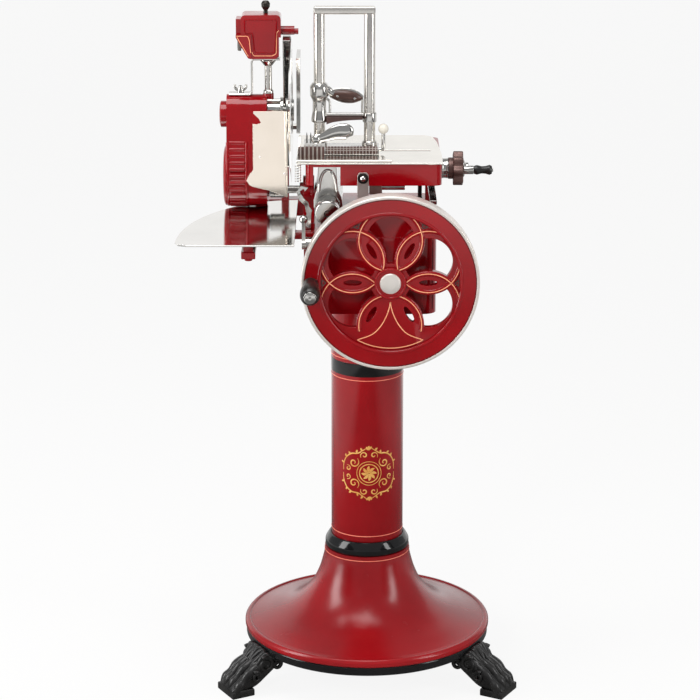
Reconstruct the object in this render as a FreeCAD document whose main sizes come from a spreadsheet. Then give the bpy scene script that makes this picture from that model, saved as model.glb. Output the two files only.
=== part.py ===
import FreeCAD, Part
import math
import os
import re
import Sketcher

# A hand cranked flywheel slicer on a cast pedestal.
# Sizes are millimetres. +X is to the operator's right, +Y is away from the operator, +Z is up.
# The frame's origin is on the floor, under the centre of the machine's bounding box. Places in the
# functions below are measured from the column's axis, which stands at column_x, column_y.

DRIVING_SIZES = [
    ("column_x", 31.7, "column axis, right of the origin"),
    ("column_y", 13.5, "column axis, behind the origin"),
    ("column_radius", 76, "pedestal column"),
    ("column_low", 279, "underside of the column"),
    ("column_high", 828, "top of the column"),
    ("rim_radius", 262.5, "foot casting, outer rim"),
    ("rim_low", 100, "foot casting, underside of the rim"),
    ("rim_high", 113, "foot casting, top of the rim"),
    ("neck_radius", 90, "foot casting, neck under the collar"),
    ("skirt_radius", 260, "black ring under the rim"),
    ("skirt_low", 81, "underside of the black ring"),
    ("toe_reach", 344, "tip of a paw from the column axis"),
    ("paw_width", 76, "width of a paw"),
    ("collar_radius", 89, "black collar at the column's foot"),
    ("collar_high", 308, "top of the collar"),
    ("flange_radius", 103, "flange on top of the column"),
    ("bolt_circle", 87, "bolts of the flange from the column axis"),
    ("bolt_radius", 5, "bolts of the flange"),
    ("tie_radius", 8, "tie rod through the column"),
    ("floor_level", 842, "underside of the machine base"),
    ("deck_level", 1000, "top of the machine base"),
    ("base_left", -110, "left face of the machine base"),
    ("base_right", 137, "right face of the machine base"),
    ("base_front", -190, "front face of the machine base"),
    ("base_rear", 210, "rear face of the machine base"),
    ("base_wall", 7, "wall of the machine base"),
    ("wheel_x", 43.6, "flywheel axis, right of the column axis"),
    ("wheel_level", 924, "flywheel axis above the floor"),
    ("wheel_front", -262, "front face of the flywheel"),
    ("wheel_width", 34, "rim width of the flywheel"),
    ("wheel_radius", 177, "flywheel, outside of the steel tyre"),
    ("web_radius", 140, "flywheel, inside of the rim"),
    ("web_thick", 16, "flywheel web"),
    ("petal_pitch", 87, "centres of the openings from the wheel axis"),
    ("opening_radius", 48, "outer arc of an opening"),
    ("petal_radius", 67.6, "arc of the petals beside an opening"),
    ("grip_throw", 158, "crank grip axis from the wheel axis"),
    ("grip_radius", 20, "crank grip"),
    ("grip_length", 100, "crank grip"),
    ("axle_radius", 12, "flywheel shaft"),
    ("cross_y", 88.6, "cross shaft behind the column axis"),
    ("cross_radius", 9, "cross shaft"),
    ("tooth_module", 3, "module of every gear"),
    ("bevel_teeth", 20, "both bevel gears"),
    ("train_teeth", 36, "first gear of the train"),
    ("idler_teeth", 28, "idler"),
    ("pinion_teeth", 14, "last gear of the train"),
    ("gear_width", 10, "face width of the train"),
    ("gear_right", -119, "right side of the train"),
    ("gear_plate_thick", 6.5, "plate behind the train"),
    ("gear_cover_depth", 16.5, "cover over the train"),
    ("drive_level", 1056, "upper drive shaft above the floor"),
    ("drive_radius", 8, "upper drive shaft"),
    ("crank_throw", 23.9, "crank pin on the cross shaft"),
    ("rocker_y", 93.9, "rocker pivot behind the column axis"),
    ("rocker_level", 866, "rocker pivot above the floor"),
    ("fork_level", 1100, "carriage pin above the floor"),
    ("fork_y", 48.9, "carriage pin behind the column axis"),
    ("rail_x", -81.5, "main rail axis"),
    ("rail_level", 1049, "main rail axis above the floor"),
    ("rail_radius", 25, "main rail"),
    ("blade_level", 1222, "blade axis above the floor"),
    ("blade_radius", 147, "blade"),
    ("blade_left", -160, "left face of the blade"),
    ("case_left", -288, "left face of the chain case"),
    ("case_split", -241, "joint between chain case and cover"),
    ("case_right", -206, "right face of the chain case"),
    ("drum_level", 1084, "centre of the case's lower drum"),
    ("drum_radius", 61, "lower drum of the case"),
    ("lobe_radius", 33, "upper lobe of the case"),
    ("tray_left", -379, "left end of the receiving tray"),
    ("tray_right", -145, "right edge of the receiving tray"),
    ("tray_front", -335, "front edge of the receiving tray"),
    ("tray_top", 1021.5, "top of the receiving tray"),
    ("tray_depth", 362, "half axis of the tray's curved edge"),
    ("table_left", -144, "left edge of the table"),
    ("table_right", 150, "right edge of the table"),
    ("table_front", -140, "front edge of the table"),
    ("table_rear", 134, "rear edge of the table"),
    ("table_top", 1142, "top of the table"),
    ("table_thick", 3.5, "table plate"),
    ("carriage_low", 1094.5, "underside of the carriage casting"),
    ("screw_y", -20, "feed screw axis"),
    ("screw_level", 1105, "feed screw axis above the floor"),
    ("screw_radius", 6, "feed screw"),
    ("post_y", -70, "vice columns"),
    ("post_left", -98, "left vice column"),
    ("post_right", 3, "right vice column"),
    ("post_radius", 11.5, "vice column"),
    ("post_high", 1440, "top of the vice columns"),
    ("stone_post_x", -203, "sharpener post"),
    ("stone_post_radius", 7.5, "sharpener post"),
    ("stone_level", 1360, "axis of both stones above the floor"),
    ("box_low", 1332, "underside of the sharpener box"),
    ("box_high", 1421, "top of the sharpener box"),
    ("running_gap", 0.05, "radial clearance of a running fit"),
]

doc = FreeCAD.newDocument("FlywheelSlicer")
dims = doc.addObject("Spreadsheet::Sheet", "Dims")
for row, (alias, size, note) in enumerate(DRIVING_SIZES, 1):
    dims.set(f"A{row}", note)
    dims.set(f"B{row}", str(size))
    dims.setAlias(f"B{row}", alias)
doc.recompute()

ALIASES = {alias for alias, size, note in DRIVING_SIZES}
VEC = FreeCAD.Vector
UPRIGHT = FreeCAD.Rotation()
FACING_FRONT = FreeCAD.Rotation(VEC(1, 0, 0), 90)    # local x, y, z become X, Z, -Y
FACING_REAR = FreeCAD.Rotation(VEC(1, 0, 0), -90)    # local z becomes +Y
FACING_RIGHT = FreeCAD.Rotation(VEC(1, 1, 1), 120)   # local x, y, z become Y, Z, X
nodes = []


def link(text):
    """Write an expression that other objects can bind to: each alias gets its sheet's name."""
    def swap(word):
        return "Dims." + word.group() if word.group() in ALIASES else word.group()
    return re.sub(r"[a-z_]+[a-z]", swap, str(text))


def value(text):
    """Work out an expression of aliases as a number."""
    return float(dims.evalExpression(str(text)))


def bind(item, name, text):
    """Bind one property of an object to an expression of the sheet."""
    item.setExpression(name, link(text))


def place(item, at, turn=UPRIGHT, from_column=False):
    """Turn an object and bind its place; finished sub-parts are measured from the column's axis."""
    item.Placement = FreeCAD.Placement(VEC(), turn)
    shift = ("column_x", "column_y", "0") if from_column else ("0", "0", "0")
    for letter, spot, start in zip("xyz", at, shift):
        bind(item, "Placement.Base." + letter, f"{start} + ({spot})")


def node(item, name, at=(0, 0, 0), turn=UPRIGHT):
    """Finish a sub-part: its label, its place and its entry in the list of nodes."""
    item.Label = name
    place(item, at, turn, from_column=True)
    nodes.append(item)
    return item


# ---- PartDesign helpers

def new_body(name):
    return doc.addObject("PartDesign::Body", name)


def new_sketch(body, role="XY_Plane", lift=0):
    """A sketch on one of the body's own origin planes, lifted along the plane's normal."""
    plane = next(item for item in body.Origin.OriginFeatures if item.Role == role)
    sketch = body.newObject("Sketcher::SketchObject", body.Name + "_sketch")
    sketch.AttachmentSupport = [(plane, "")]
    sketch.MapMode = "FlatFace"
    bind(sketch, "AttachmentOffset.Base.z", lift)
    return sketch


def draw_polygon(sketch, corners):
    """A closed outline whose corners are bound to expressions of the sheet."""
    first = sketch.GeometryCount
    count = len(corners)
    spots = [VEC(value(x), value(y), 0) for x, y in corners]
    for index in range(count):
        sketch.addGeometry(Part.LineSegment(spots[index], spots[(index + 1) % count]), False)
    for index in range(count):
        following = first + (index + 1) % count
        sketch.addConstraint(Sketcher.Constraint("Coincident", first + index, 2, following, 1))
    for index, (x, y) in enumerate(corners):
        for kind, text, number in (("DistanceX", x, spots[index].x), ("DistanceY", y, spots[index].y)):
            rule = Sketcher.Constraint(kind, -1, 1, first + index, 1, number)
            bind(sketch, f"Constraints[{sketch.addConstraint(rule)}]", text)


def draw_circle(sketch, x, y, radius):
    """A circle with its centre and radius bound to expressions of the sheet."""
    centre = VEC(value(x), value(y), 0)
    index = sketch.addGeometry(Part.Circle(centre, VEC(0, 0, 1), value(radius)), False)
    rules = [
        (Sketcher.Constraint("DistanceX", -1, 1, index, 3, centre.x), x),
        (Sketcher.Constraint("DistanceY", -1, 1, index, 3, centre.y), y),
        (Sketcher.Constraint("Radius", index, value(radius)), radius),
    ]
    for rule, text in rules:
        bind(sketch, f"Constraints[{sketch.addConstraint(rule)}]", text)


def add_pad(body, sketch, length):
    pad = body.newObject("PartDesign::Pad", body.Name + "_pad")
    pad.Profile = sketch
    bind(pad, "Length", length)
    return pad


def add_pocket(body, sketch, depth):
    """Cut a pocket from the sketch towards +Z of the body, and check that it cuts."""
    doc.recompute()
    before = body.Shape.Volume
    pocket = body.newObject("PartDesign::Pocket", body.Name + "_pocket")
    pocket.Profile = sketch
    pocket.Reversed = True
    bind(pocket, "Length", depth)
    doc.recompute()
    if not body.Shape.Volume < before:
        raise RuntimeError(body.Name + ": the pocket cuts nothing")
    return pocket


def add_fillet(body, radius, wanted):
    """Round the edges of the body's tip that the function `wanted` picks."""
    doc.recompute()
    tip = body.Tip
    names = [f"Edge{index + 1}" for index, edge in enumerate(tip.Shape.Edges) if wanted(edge)]
    fillet = body.newObject("PartDesign::Fillet", body.Name + "_fillet")
    fillet.Base = (tip, names)
    bind(fillet, "Radius", radius)
    return fillet


def is_upright(edge):
    """True for a straight edge along the body's own Z axis."""
    start, end = edge.Vertexes[0].Point, edge.Vertexes[-1].Point
    return math.hypot(end.x - start.x, end.y - start.y) < 1e-4 < abs(end.z - start.z)


def turned(name, profile, at=(0, 0, 0), turn=UPRIGHT, finished=True):
    """A piece turned on a lathe: its (radius, height) outline revolved about local Z."""
    body = new_body(name)
    sketch = new_sketch(body, "XZ_Plane")
    draw_polygon(sketch, profile)
    revolution = body.newObject("PartDesign::Revolution", name + "_revolution")
    revolution.Profile = sketch
    revolution.ReferenceAxis = (sketch, ["V_Axis"])
    revolution.Angle = 360
    if finished:
        return node(body, name, at, turn)
    place(body, at, turn)
    return body


def plate(name, corners, thickness, at=(0, 0, 0), turn=UPRIGHT, holes=(), corner_radius=None,
          finished=True):
    """A flat piece cut from plate: an outline with round holes, padded along local Z."""
    body = new_body(name)
    sketch = new_sketch(body)
    draw_polygon(sketch, corners)
    for x, y, radius in holes:
        draw_circle(sketch, x, y, radius)
    add_pad(body, sketch, thickness)
    if corner_radius:
        add_fillet(body, corner_radius, is_upright)
    if finished:
        return node(body, name, at, turn)
    place(body, at, turn)
    return body


def oblong(left, right, low, high):
    """Corners of a rectangle."""
    return [(left, low), (right, low), (right, high), (left, high)]


# ---- Part helpers: x, y, z below are the low corner or the start of the axis

def block(low, high):
    """A box between two corners."""
    item = doc.addObject("Part::Box", "block")
    for name, start, end in zip(("Length", "Width", "Height"), low, high):
        bind(item, name, f"({end}) - ({start})")
    place(item, low)
    return item


def bar_node(name, low, high):
    """A sub-part that is one plain bar between two corners."""
    return node(block(low, high), name, low)


def rod(radius, length, at, turn=UPRIGHT, angle=360):
    """A cylinder from a point along the turned Z axis."""
    item = doc.addObject("Part::Cylinder", "rod")
    bind(item, "Radius", radius)
    bind(item, "Height", length)
    item.Angle = angle
    place(item, at, turn)
    return item


def rod_x(radius, left, right, y, z):
    """A cylinder along X between two ends."""
    return rod(radius, f"({right}) - ({left})", (left, y, z), FACING_RIGHT)


def rod_y(radius, front, rear, x, z):
    """A cylinder along Y between two ends."""
    return rod(radius, f"({rear}) - ({front})", (x, front, z), FACING_REAR)


def cone(low_radius, high_radius, length, at, turn=UPRIGHT):
    """A cone from a point along the turned Z axis."""
    item = doc.addObject("Part::Cone", "cone")
    for name, size in (("Radius1", low_radius), ("Radius2", high_radius), ("Height", length)):
        bind(item, name, size)
    place(item, at, turn)
    return item


def ball(radius, at):
    item = doc.addObject("Part::Sphere", "ball")
    bind(item, "Radius", radius)
    place(item, at)
    return item


def fused(items):
    item = doc.addObject("Part::MultiFuse", "fused")
    item.Shapes = items
    return item


def carved(base, tools):
    item = doc.addObject("Part::Cut", "carved")
    item.Base = base
    item.Tool = tools[0] if len(tools) == 1 else fused(tools)
    return item


def group(items):
    """Separate solids that share one node."""
    item = doc.addObject("Part::Compound", "group")
    item.Links = items
    return item


def ring_spots(radius, turns):
    """Expressions (x, y) of places round an axis, at the given turns in degrees."""
    return [(f"{radius} * {math.cos(math.radians(turn)):.6f}", f"{radius} * {math.sin(math.radians(turn)):.6f}")
            for turn in turns]


FLANGE_TURNS = (45, 135, 225, 315)


# ---- the pedestal

def make_feet():
    """Three cast paws: a toe pad on the floor and a leg that rises in under the skirt."""
    half = value("paw_width") / 2
    reach = value("toe_reach")
    top = value("skirt_low")
    stations = [
        (reach, 0.8, 2, 12),
        (reach - 10, 1.0, 0, 26),
        (reach - 35, 1.0, 0, 46),
        (reach - 57, 0.84, 8, 64),
        (reach - 80, 0.7, 26, top - 4),
        (reach - 105, 0.7, 46, top),
        (reach - 130, 0.74, 60, top),
    ]
    wires = []
    for distance, share, low, high in stations:
        side = half * share
        shoulder = low + (high - low) * 0.6
        corners = [(-side, low), (side, low), (side, shoulder), (side * 0.6, high)]
        corners += [(-side * 0.6, high), (-side, shoulder)]
        points = [VEC(distance, across, up) for across, up in corners]
        wires.append(Part.makePolygon(points + points[:1]))
    leg = Part.makeLoft(wires, True, True)
    pad = Part.makeBox(42, 2 * half - 8, 15, VEC(reach - 46, 4 - half, 0))
    paw = leg.fuse(pad).removeSplitter()
    paws = []
    for bearing in (-151, -29, 90):
        copy = paw.copy()
        copy.rotate(VEC(), VEC(0, 0, 1), bearing)
        paws.append(copy)
    feet = doc.addObject("Part::Feature", "feet")
    feet.Shape = Part.makeCompound(paws)
    node(feet, "feet")


def make_pedestal_base():
    """The red trumpet: a hollow casting that flares from the neck to the rim."""
    outer = [("rim_radius - 4.5", "rim_high"), ("rim_radius - 13", "rim_high + 2"), (215, 125), (175, 140),
             (145, 160), (118, 190), (103, 220), (94, 250), ("neck_radius", 272)]
    inner = [(82, 264), (87, 248), (96, 218), (110, 186), (138, 154), (168, 134), (208, 119), (240, 110)]
    profile = [("9", "column_low"), ("9", "264")] + inner + [(250, "rim_low"), ("rim_radius - 2", "rim_low")]
    profile += [("rim_radius", "rim_low + 3"), ("rim_radius", "rim_high - 4")] + outer
    profile += [("neck_radius", "column_low")]
    turned("pedestal_base", profile)


def make_pedestal_rings():
    """The black skirt ring under the rim and the black collar round the column's foot."""
    turned("skirt_ring", [(196, "skirt_low"), ("skirt_radius - 3", "skirt_low"),
                          ("skirt_radius", "skirt_low + 4"), ("skirt_radius", "rim_low"), (196, "rim_low")])
    turned("collar_ring", [("column_radius", "column_low"), ("collar_radius - 2", "column_low"),
                           ("collar_radius", "column_low + 8"), ("collar_radius", "column_low + 15"),
                           ("collar_radius - 6", "collar_high - 5"), ("column_radius + 2", "collar_high"),
                           ("column_radius", "collar_high")])


def make_column():
    """The tube, the flange on top of it, the tie rod through it and the bolts of the flange."""
    turned("pedestal_column", oblong("column_radius - 5", "column_radius", "column_low", "column_high"))
    bolt_spots = ring_spots("bolt_circle", FLANGE_TURNS)
    holes = [(x, y, "bolt_radius + 0.2") for x, y in bolt_spots] + [("0", "0", "tie_radius + 1")]
    plate("stand_top", ring_spots("flange_radius", range(0, 360, 10)), "floor_level - column_high",
          ("0", "0", "column_high"), holes=holes)
    shank = rod("tie_radius", "floor_level + 12 - 244", (0, 0, 244))
    nut_low = rod(15, 12, (0, 0, 252))
    nut_high = rod(15, 10, (0, 0, "floor_level"))
    node(fused([shank, nut_low, nut_high]), "tie_rod")
    bolts = []
    for x, y in bolt_spots:
        stem = rod("bolt_radius", "floor_level + 8 - column_high + 10", (x, y, "column_high - 10"))
        head = rod("bolt_radius + 3.5", 6, (x, y, "floor_level + 8"))
        nut = rod("bolt_radius + 3.5", 8, (x, y, "column_high - 8"))
        bolts.append(fused([stem, head, nut]))
    node(group(bolts), "flange_bolts")


# ---- the machine base

def rocker_slot(low, high):
    """The way through the deck that the rocker sweeps."""
    return block((101, 12, low), (117, 176, high))


def make_machine_base():
    """The red casting: floor, walls and deck, the wheel's boss, inner ribs and rail pillars."""
    body = new_body("base_shell")
    shell = new_sketch(body, "XY_Plane", "floor_level")
    draw_polygon(shell, oblong("base_left", "base_right", "base_front", "base_rear"))
    add_pad(body, shell, "deck_level - floor_level")
    add_fillet(body, 26, is_upright)
    hollow = new_sketch(body, "XY_Plane", "floor_level + 8")
    draw_polygon(hollow, oblong("base_left + base_wall", "base_right - base_wall",
                                "base_front + base_wall", "base_rear - base_wall"))
    add_pocket(body, hollow, "deck_level - floor_level - 15")
    rail_feet = [("base_front + 3", "base_front + 27"), ("base_rear - 29", "base_rear - 5")]
    pillars = [block(("rail_x - 11.5", low, "deck_level - 5"), ("rail_x + 11.5", high, "rail_level - 10"))
               for low, high in rail_feet]
    pillars += [block(("base_right - 14", low, "deck_level - 5"), ("base_right - 2", high, 1066))
                for low, high in (("base_front + 26", "base_front + 50"), ("base_rear - 50", "base_rear - 26"))]
    boss = rod_y(30, "base_front - 18", "base_front + 20", "wheel_x", "wheel_level")
    dome = cone(62, 30, 14, ("wheel_x", "base_front + 2", "wheel_level"), FACING_FRONT)
    ribs = [block((22, 28, "floor_level + 4"), (66, 40, 952)),
            block((80, "cross_y - 22", "floor_level + 4"), (88, "cross_y + 22", 948)),
            rod_x(20, "base_left + 2", "base_left + 15", "cross_y", "wheel_level"),
            rod_x(14, 118, "base_right - 2", "rocker_y", "rocker_level"),
            rod_x(11, 114, 119, "rocker_y", "rocker_level"),
            rod_x(8, 104, 119, "rocker_y", "rocker_level"),
            block((-132, -93, 984), ("base_left + 2", -83, 1006))]
    bridge = block((-40, -187, 995), (118, -160, 1046))
    solid = fused([body, boss, dome, bridge] + pillars + ribs)
    bolt_holes = [rod("bolt_radius + 0.2", 20, (x, y, "floor_level - 5"))
                  for x, y in ring_spots("bolt_circle", FLANGE_TURNS)]
    bores = [rod_y(16, "base_front - 20", 45, "wheel_x", "wheel_level"),
             rod_x(13, "base_left - 5", 90, "cross_y", "wheel_level"),
             rod(17, 20, (0, 0, "floor_level - 5")),
             block((-30, "base_rear - 12", 880), (60, "base_rear + 5", 960)),
             rod_y("rail_radius", -200, 220, "rail_x", "rail_level"),
             rod_y("7 + running_gap", -95, -80, -122.5, 996),
             rocker_slot("deck_level - 20", "deck_level + 5")]
    node(carved(solid, bores + bolt_holes), "machine_base")


def make_base_covers():
    """The plate over the rear hatch, and the two rails the carriage runs on."""
    plate("rear_cover", oblong(-48, 78, 866, 974), 4, ("0", "base_rear + 4", "0"), FACING_FRONT,
          corner_radius=8)
    turned("main_rail", [("0", "0"), ("rail_radius - 2", "0"), ("rail_radius", "2"), ("rail_radius", "390"),
                         ("rail_radius - 2", "392"), ("0", "392")],
           ("rail_x", "base_front + 3", "rail_level"), FACING_REAR)
    bar_node("side_rail", ("base_right - 14", "base_front + 10", 1066),
             ("base_right", "base_rear - 10", 1074))


def train_spots():
    """Centres (Y, Z) of the three gears of the train, which stand on one slanting line."""
    first = VEC(value("cross_y"), value("wheel_level"), 0)
    last = VEC(0, value("drive_level"), 0)
    along = (last - first).normalize()
    reach = value("tooth_module * (train_teeth + idler_teeth) / 2")
    return first, first + along * reach, last


def train_outline(body, big, middle, small, lift, depth, cutting=False):
    """Pad or pocket the outline that clears the three gears."""
    spots = train_spots()
    along = (spots[2] - spots[0]).normalize()
    across = VEC(-along.y, along.x, 0)
    corners = [spots[0] + across * big, spots[0] - across * big, spots[2] - across * small,
               spots[2] + across * small]
    outlines = [("circle", spots[0], big), ("circle", spots[1], middle), ("circle", spots[2], small),
                ("band", corners, None)]
    for kind, where, radius in outlines:
        sketch = new_sketch(body, "XY_Plane", lift)
        if kind == "circle":
            draw_circle(sketch, where.x, where.y, radius)
        else:
            draw_polygon(sketch, [(corner.x, corner.y) for corner in where])
        if cutting:
            add_pocket(body, sketch, depth)
        else:
            add_pad(body, sketch, depth)
            doc.recompute()


def make_gearbox():
    """The steel plate that carries the train, and the cover over it."""
    first, idler, last = train_spots()
    body = new_body("gear_plate_shell")
    train_outline(body, 60, 48, 29, 0, "gear_plate_thick")
    stud = rod(7, 18, (idler.x, idler.y, -12))
    holes = [rod(14, 20, (first.x, first.y, -5)), rod("drive_radius + running_gap", 20, (last.x, last.y, -5))]
    node(carved(fused([body, stud]), holes), "gear_plate", ("base_left - gear_plate_thick", "0", "0"),
         FACING_RIGHT)
    body = new_body("gear_cover_shell")
    train_outline(body, 60, 48, 29, 0, "gear_cover_depth")
    train_outline(body, 57.5, 46, 26.5, 2.5, "gear_cover_depth", cutting=True)
    bearing = rod(15, 9, (last.x, last.y, -7))
    hole = rod(11, 30, (last.x, last.y, -10))
    node(carved(fused([body, bearing]), [hole]), "gear_cover",
         ("base_left - gear_plate_thick - gear_cover_depth", "0", "0"), FACING_RIGHT)


def bush_x(outer, inner, left, right, y, z):
    return carved(rod_x(outer, left, right, y, z), [rod_x(inner, f"({left}) - 1", f"({right}) + 1", y, z)])


def bush_y(outer, inner, front, rear, x, z):
    return carved(rod_y(outer, front, rear, x, z), [rod_y(inner, f"({front}) - 1", f"({rear}) + 1", x, z)])


def make_bushes():
    """Bronze bushes: two for the flywheel shaft, two for the cross shaft, three further up."""
    bushes = [
        bush_y(16, "axle_radius + running_gap", "base_front - 18", "base_front + 20", "wheel_x", "wheel_level"),
        bush_y(16, "axle_radius + running_gap", 28, 40, "wheel_x", "wheel_level"),
        bush_x(13, "cross_radius + running_gap", "base_left", "base_left + 15", "cross_y", "wheel_level"),
        bush_x(13, "cross_radius + running_gap", 80, 88, "cross_y", "wheel_level"),
        bush_x(11, "drive_radius + running_gap", "base_left - 30", "base_left - 20.5", 0, "drive_level"),
        bush_x(11, "drive_radius + running_gap", "case_right - 5", "case_right + 4", 0, "drive_level"),
        bush_x(13, "9 + running_gap", "case_right - 5", -174, 0, "blade_level"),
    ]
    node(group(bushes), "shaft_bushes")


# ---- gears and shafts

def gear_shape(teeth, width, bore, phase):
    """A spur gear about local Z with straight-flanked teeth and room to run."""
    module = value("tooth_module")
    pitch_radius = module * teeth / 2
    root = pitch_radius - 1.25 * module
    tip = pitch_radius + 0.9 * module
    pitch = math.pi * module
    points = []
    for tooth in range(teeth):
        middle = math.radians(phase) + 2 * math.pi * tooth / teeth
        for radius, offset in ((root, -0.3), (tip, -0.11), (tip, 0.11), (root, 0.3)):
            angle = middle + offset * pitch / pitch_radius
            points.append(VEC(radius * math.cos(angle), radius * math.sin(angle), 0))
    face = Part.Face(Part.makePolygon(points + points[:1]))
    return face.extrude(VEC(0, 0, width)).cut(Part.makeCylinder(bore, width))


def meshing_phase(phase, teeth, bearing, other_teeth):
    """Phase of a gear that meshes with one of the given phase, in degrees.

    phase_b = bearing + 180 + (u + 1/2) 360 / teeth_b, with u = (bearing - phase_a) teeth_a / 360.
    """
    share = (bearing - phase) * teeth / 360
    return bearing + 180 + (share + 0.5) * 360 / other_teeth


def bevel_shape(phase, bore):
    """A mitre gear with its apex at the origin and its back towards -Z."""
    module = value("tooth_module")
    teeth = int(value("bevel_teeth"))
    radius = module * teeth / 2
    small = 0.72
    rise = module * 0.9 / math.sqrt(2)
    fall = module * 1.25 / math.sqrt(2)
    root = (radius - fall, -radius - fall)
    tip = (radius + rise, rise - radius)
    outline = [(bore, root[1] * small), (root[0] * small, root[1] * small), root,
               (root[0] - 3, root[1] - 5), (bore, root[1] - 5)]
    points = [VEC(r, 0, z) for r, z in outline]
    blank = Part.Face(Part.makePolygon(points + points[:1])).revolve(VEC(), VEC(0, 0, 1), 360)
    wires = []
    for scale in (1, small):
        quad = []
        for (r, z), share in ((root, -0.27), (tip, -0.12), (tip, 0.12), (root, 0.27)):
            depth = 0.6 if share in (-0.27, 0.27) else 0
            across = share * math.pi * module
            quad.append(VEC((r - depth) * scale, across * scale, (z - depth) * scale))
        wires.append(Part.makePolygon(quad + quad[:1]))
    tooth = Part.makeLoft(wires, True, True)
    copies = []
    for index in range(teeth):
        copy = tooth.copy()
        copy.rotate(VEC(), VEC(0, 0, 1), phase + 360 * index / teeth)
        copies.append(copy)
    return blank.multiFuse(copies)


def shaped(name, shape, at, turn=UPRIGHT):
    """A sub-part whose teeth are worked out point by point."""
    item = doc.addObject("Part::Feature", name)
    item.Shape = shape
    return node(item, name, at, turn)


def make_gears():
    """The bevel pair under the flywheel, and the train that climbs to the drive shaft."""
    first, idler, last = train_spots()
    bearing = math.degrees(math.atan2(last.y - first.y, last.x - first.x))
    train, middle, pinion = (int(value(name)) for name in ("train_teeth", "idler_teeth", "pinion_teeth"))
    idler_phase = meshing_phase(0, train, bearing, middle)
    pinion_phase = meshing_phase(idler_phase, middle, bearing, pinion)
    width = value("gear_width")
    shaped("flywheel_bevel", bevel_shape(0, value("axle_radius")), ("wheel_x", "cross_y", "wheel_level"),
           FACING_REAR)
    shaped("cross_bevel", bevel_shape(9, value("cross_radius")), ("wheel_x", "cross_y", "wheel_level"),
           FACING_RIGHT)
    shaped("train_gear", gear_shape(train, width, value("cross_radius"), 0),
           ("gear_right - gear_width", "cross_y", "wheel_level"), FACING_RIGHT)
    shaped("idler_gear", gear_shape(middle, width, 7 + value("running_gap"), idler_phase),
           ("gear_right - gear_width", str(idler.x), str(idler.y)), FACING_RIGHT)
    return gear_shape(pinion, width, value("drive_radius") - 1, pinion_phase)


def make_shafts(pinion):
    """Flywheel shaft, cross shaft with its crank disc, drive shaft with its pinion, blade spindle."""
    turned("flywheel_shaft", [("0", "0"), ("axle_radius - 1", "0"), ("axle_radius", "1"),
                              ("axle_radius", "cross_y - wheel_front - 30.5"),
                              ("0", "cross_y - wheel_front - 30.5")],
           ("wheel_x", "wheel_front + 6", "wheel_level"), FACING_REAR)
    (pin_y, pin_z), = ring_spots("crank_throw", [-93])
    web = fused([rod_x(36, 91, 98, "cross_y", "wheel_level"),
                 rod_x("cross_radius", "base_left - 20", 94, "cross_y", "wheel_level"),
                 rod_x(6, 96, 103.5, f"cross_y + {pin_y}", f"wheel_level + {pin_z}")])
    node(web, "cross_shaft")
    toothed = doc.addObject("Part::Feature", "pinion")
    toothed.Shape = pinion
    place(toothed, ("gear_right - gear_width", "0", "drive_level"), FACING_RIGHT)
    drive = fused([toothed, rod_x("drive_radius", -262, "base_left - 1", 0, "drive_level"),
                   rod_x(17, "case_right + 5", -172, 0, "drive_level"),
                   rod_x(21, -253, -246, 0, "drive_level")])
    node(drive, "drive_shaft")
    spindle = fused([rod_x(9, -262, "blade_left", 0, "blade_level"),
                     rod_x(32, "blade_left - 7", "blade_left", 0, "blade_level"),
                     rod_x(12, "blade_left - 1", "blade_left + 9", 0, "blade_level"),
                     rod_x(22, "blade_left + 5", "blade_left + 9", 0, "blade_level"),
                     rod_x(19, -253, -246, 0, "blade_level")])
    node(spindle, "blade_spindle")


def make_rocker():
    """The slotted rocker between the crank disc and the carriage, leaning at rest."""
    lean = math.degrees(math.atan2(45, value("fork_level - rocker_level")))
    reach = value("fork_level - rocker_level")
    arm = plate("rocker_blank", [(-9, -12), (9, -12), (15, -3), (19, 60), (17, 120), (16.5, reach + 24),
                                 (-16.5, reach + 24), (-17, 120), (-19, 60), (-15, -3)], 8, finished=False)
    eye = rod("8 + running_gap", 20, (0, 0, -5))
    fork = block((-11, reach - 32, -5), (11, reach + 40, 15))
    drive_slot = block((-6.5, 27, -5), (6.5, 90, 15))
    turn = FreeCAD.Rotation(VEC(1, 1, 1), 120).multiply(FreeCAD.Rotation(VEC(0, 0, 1), lean))
    node(carved(arm, [eye, fork, drive_slot]), "rocker_arm", (105, "rocker_y", "rocker_level"), turn)


# ---- the flywheel

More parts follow.
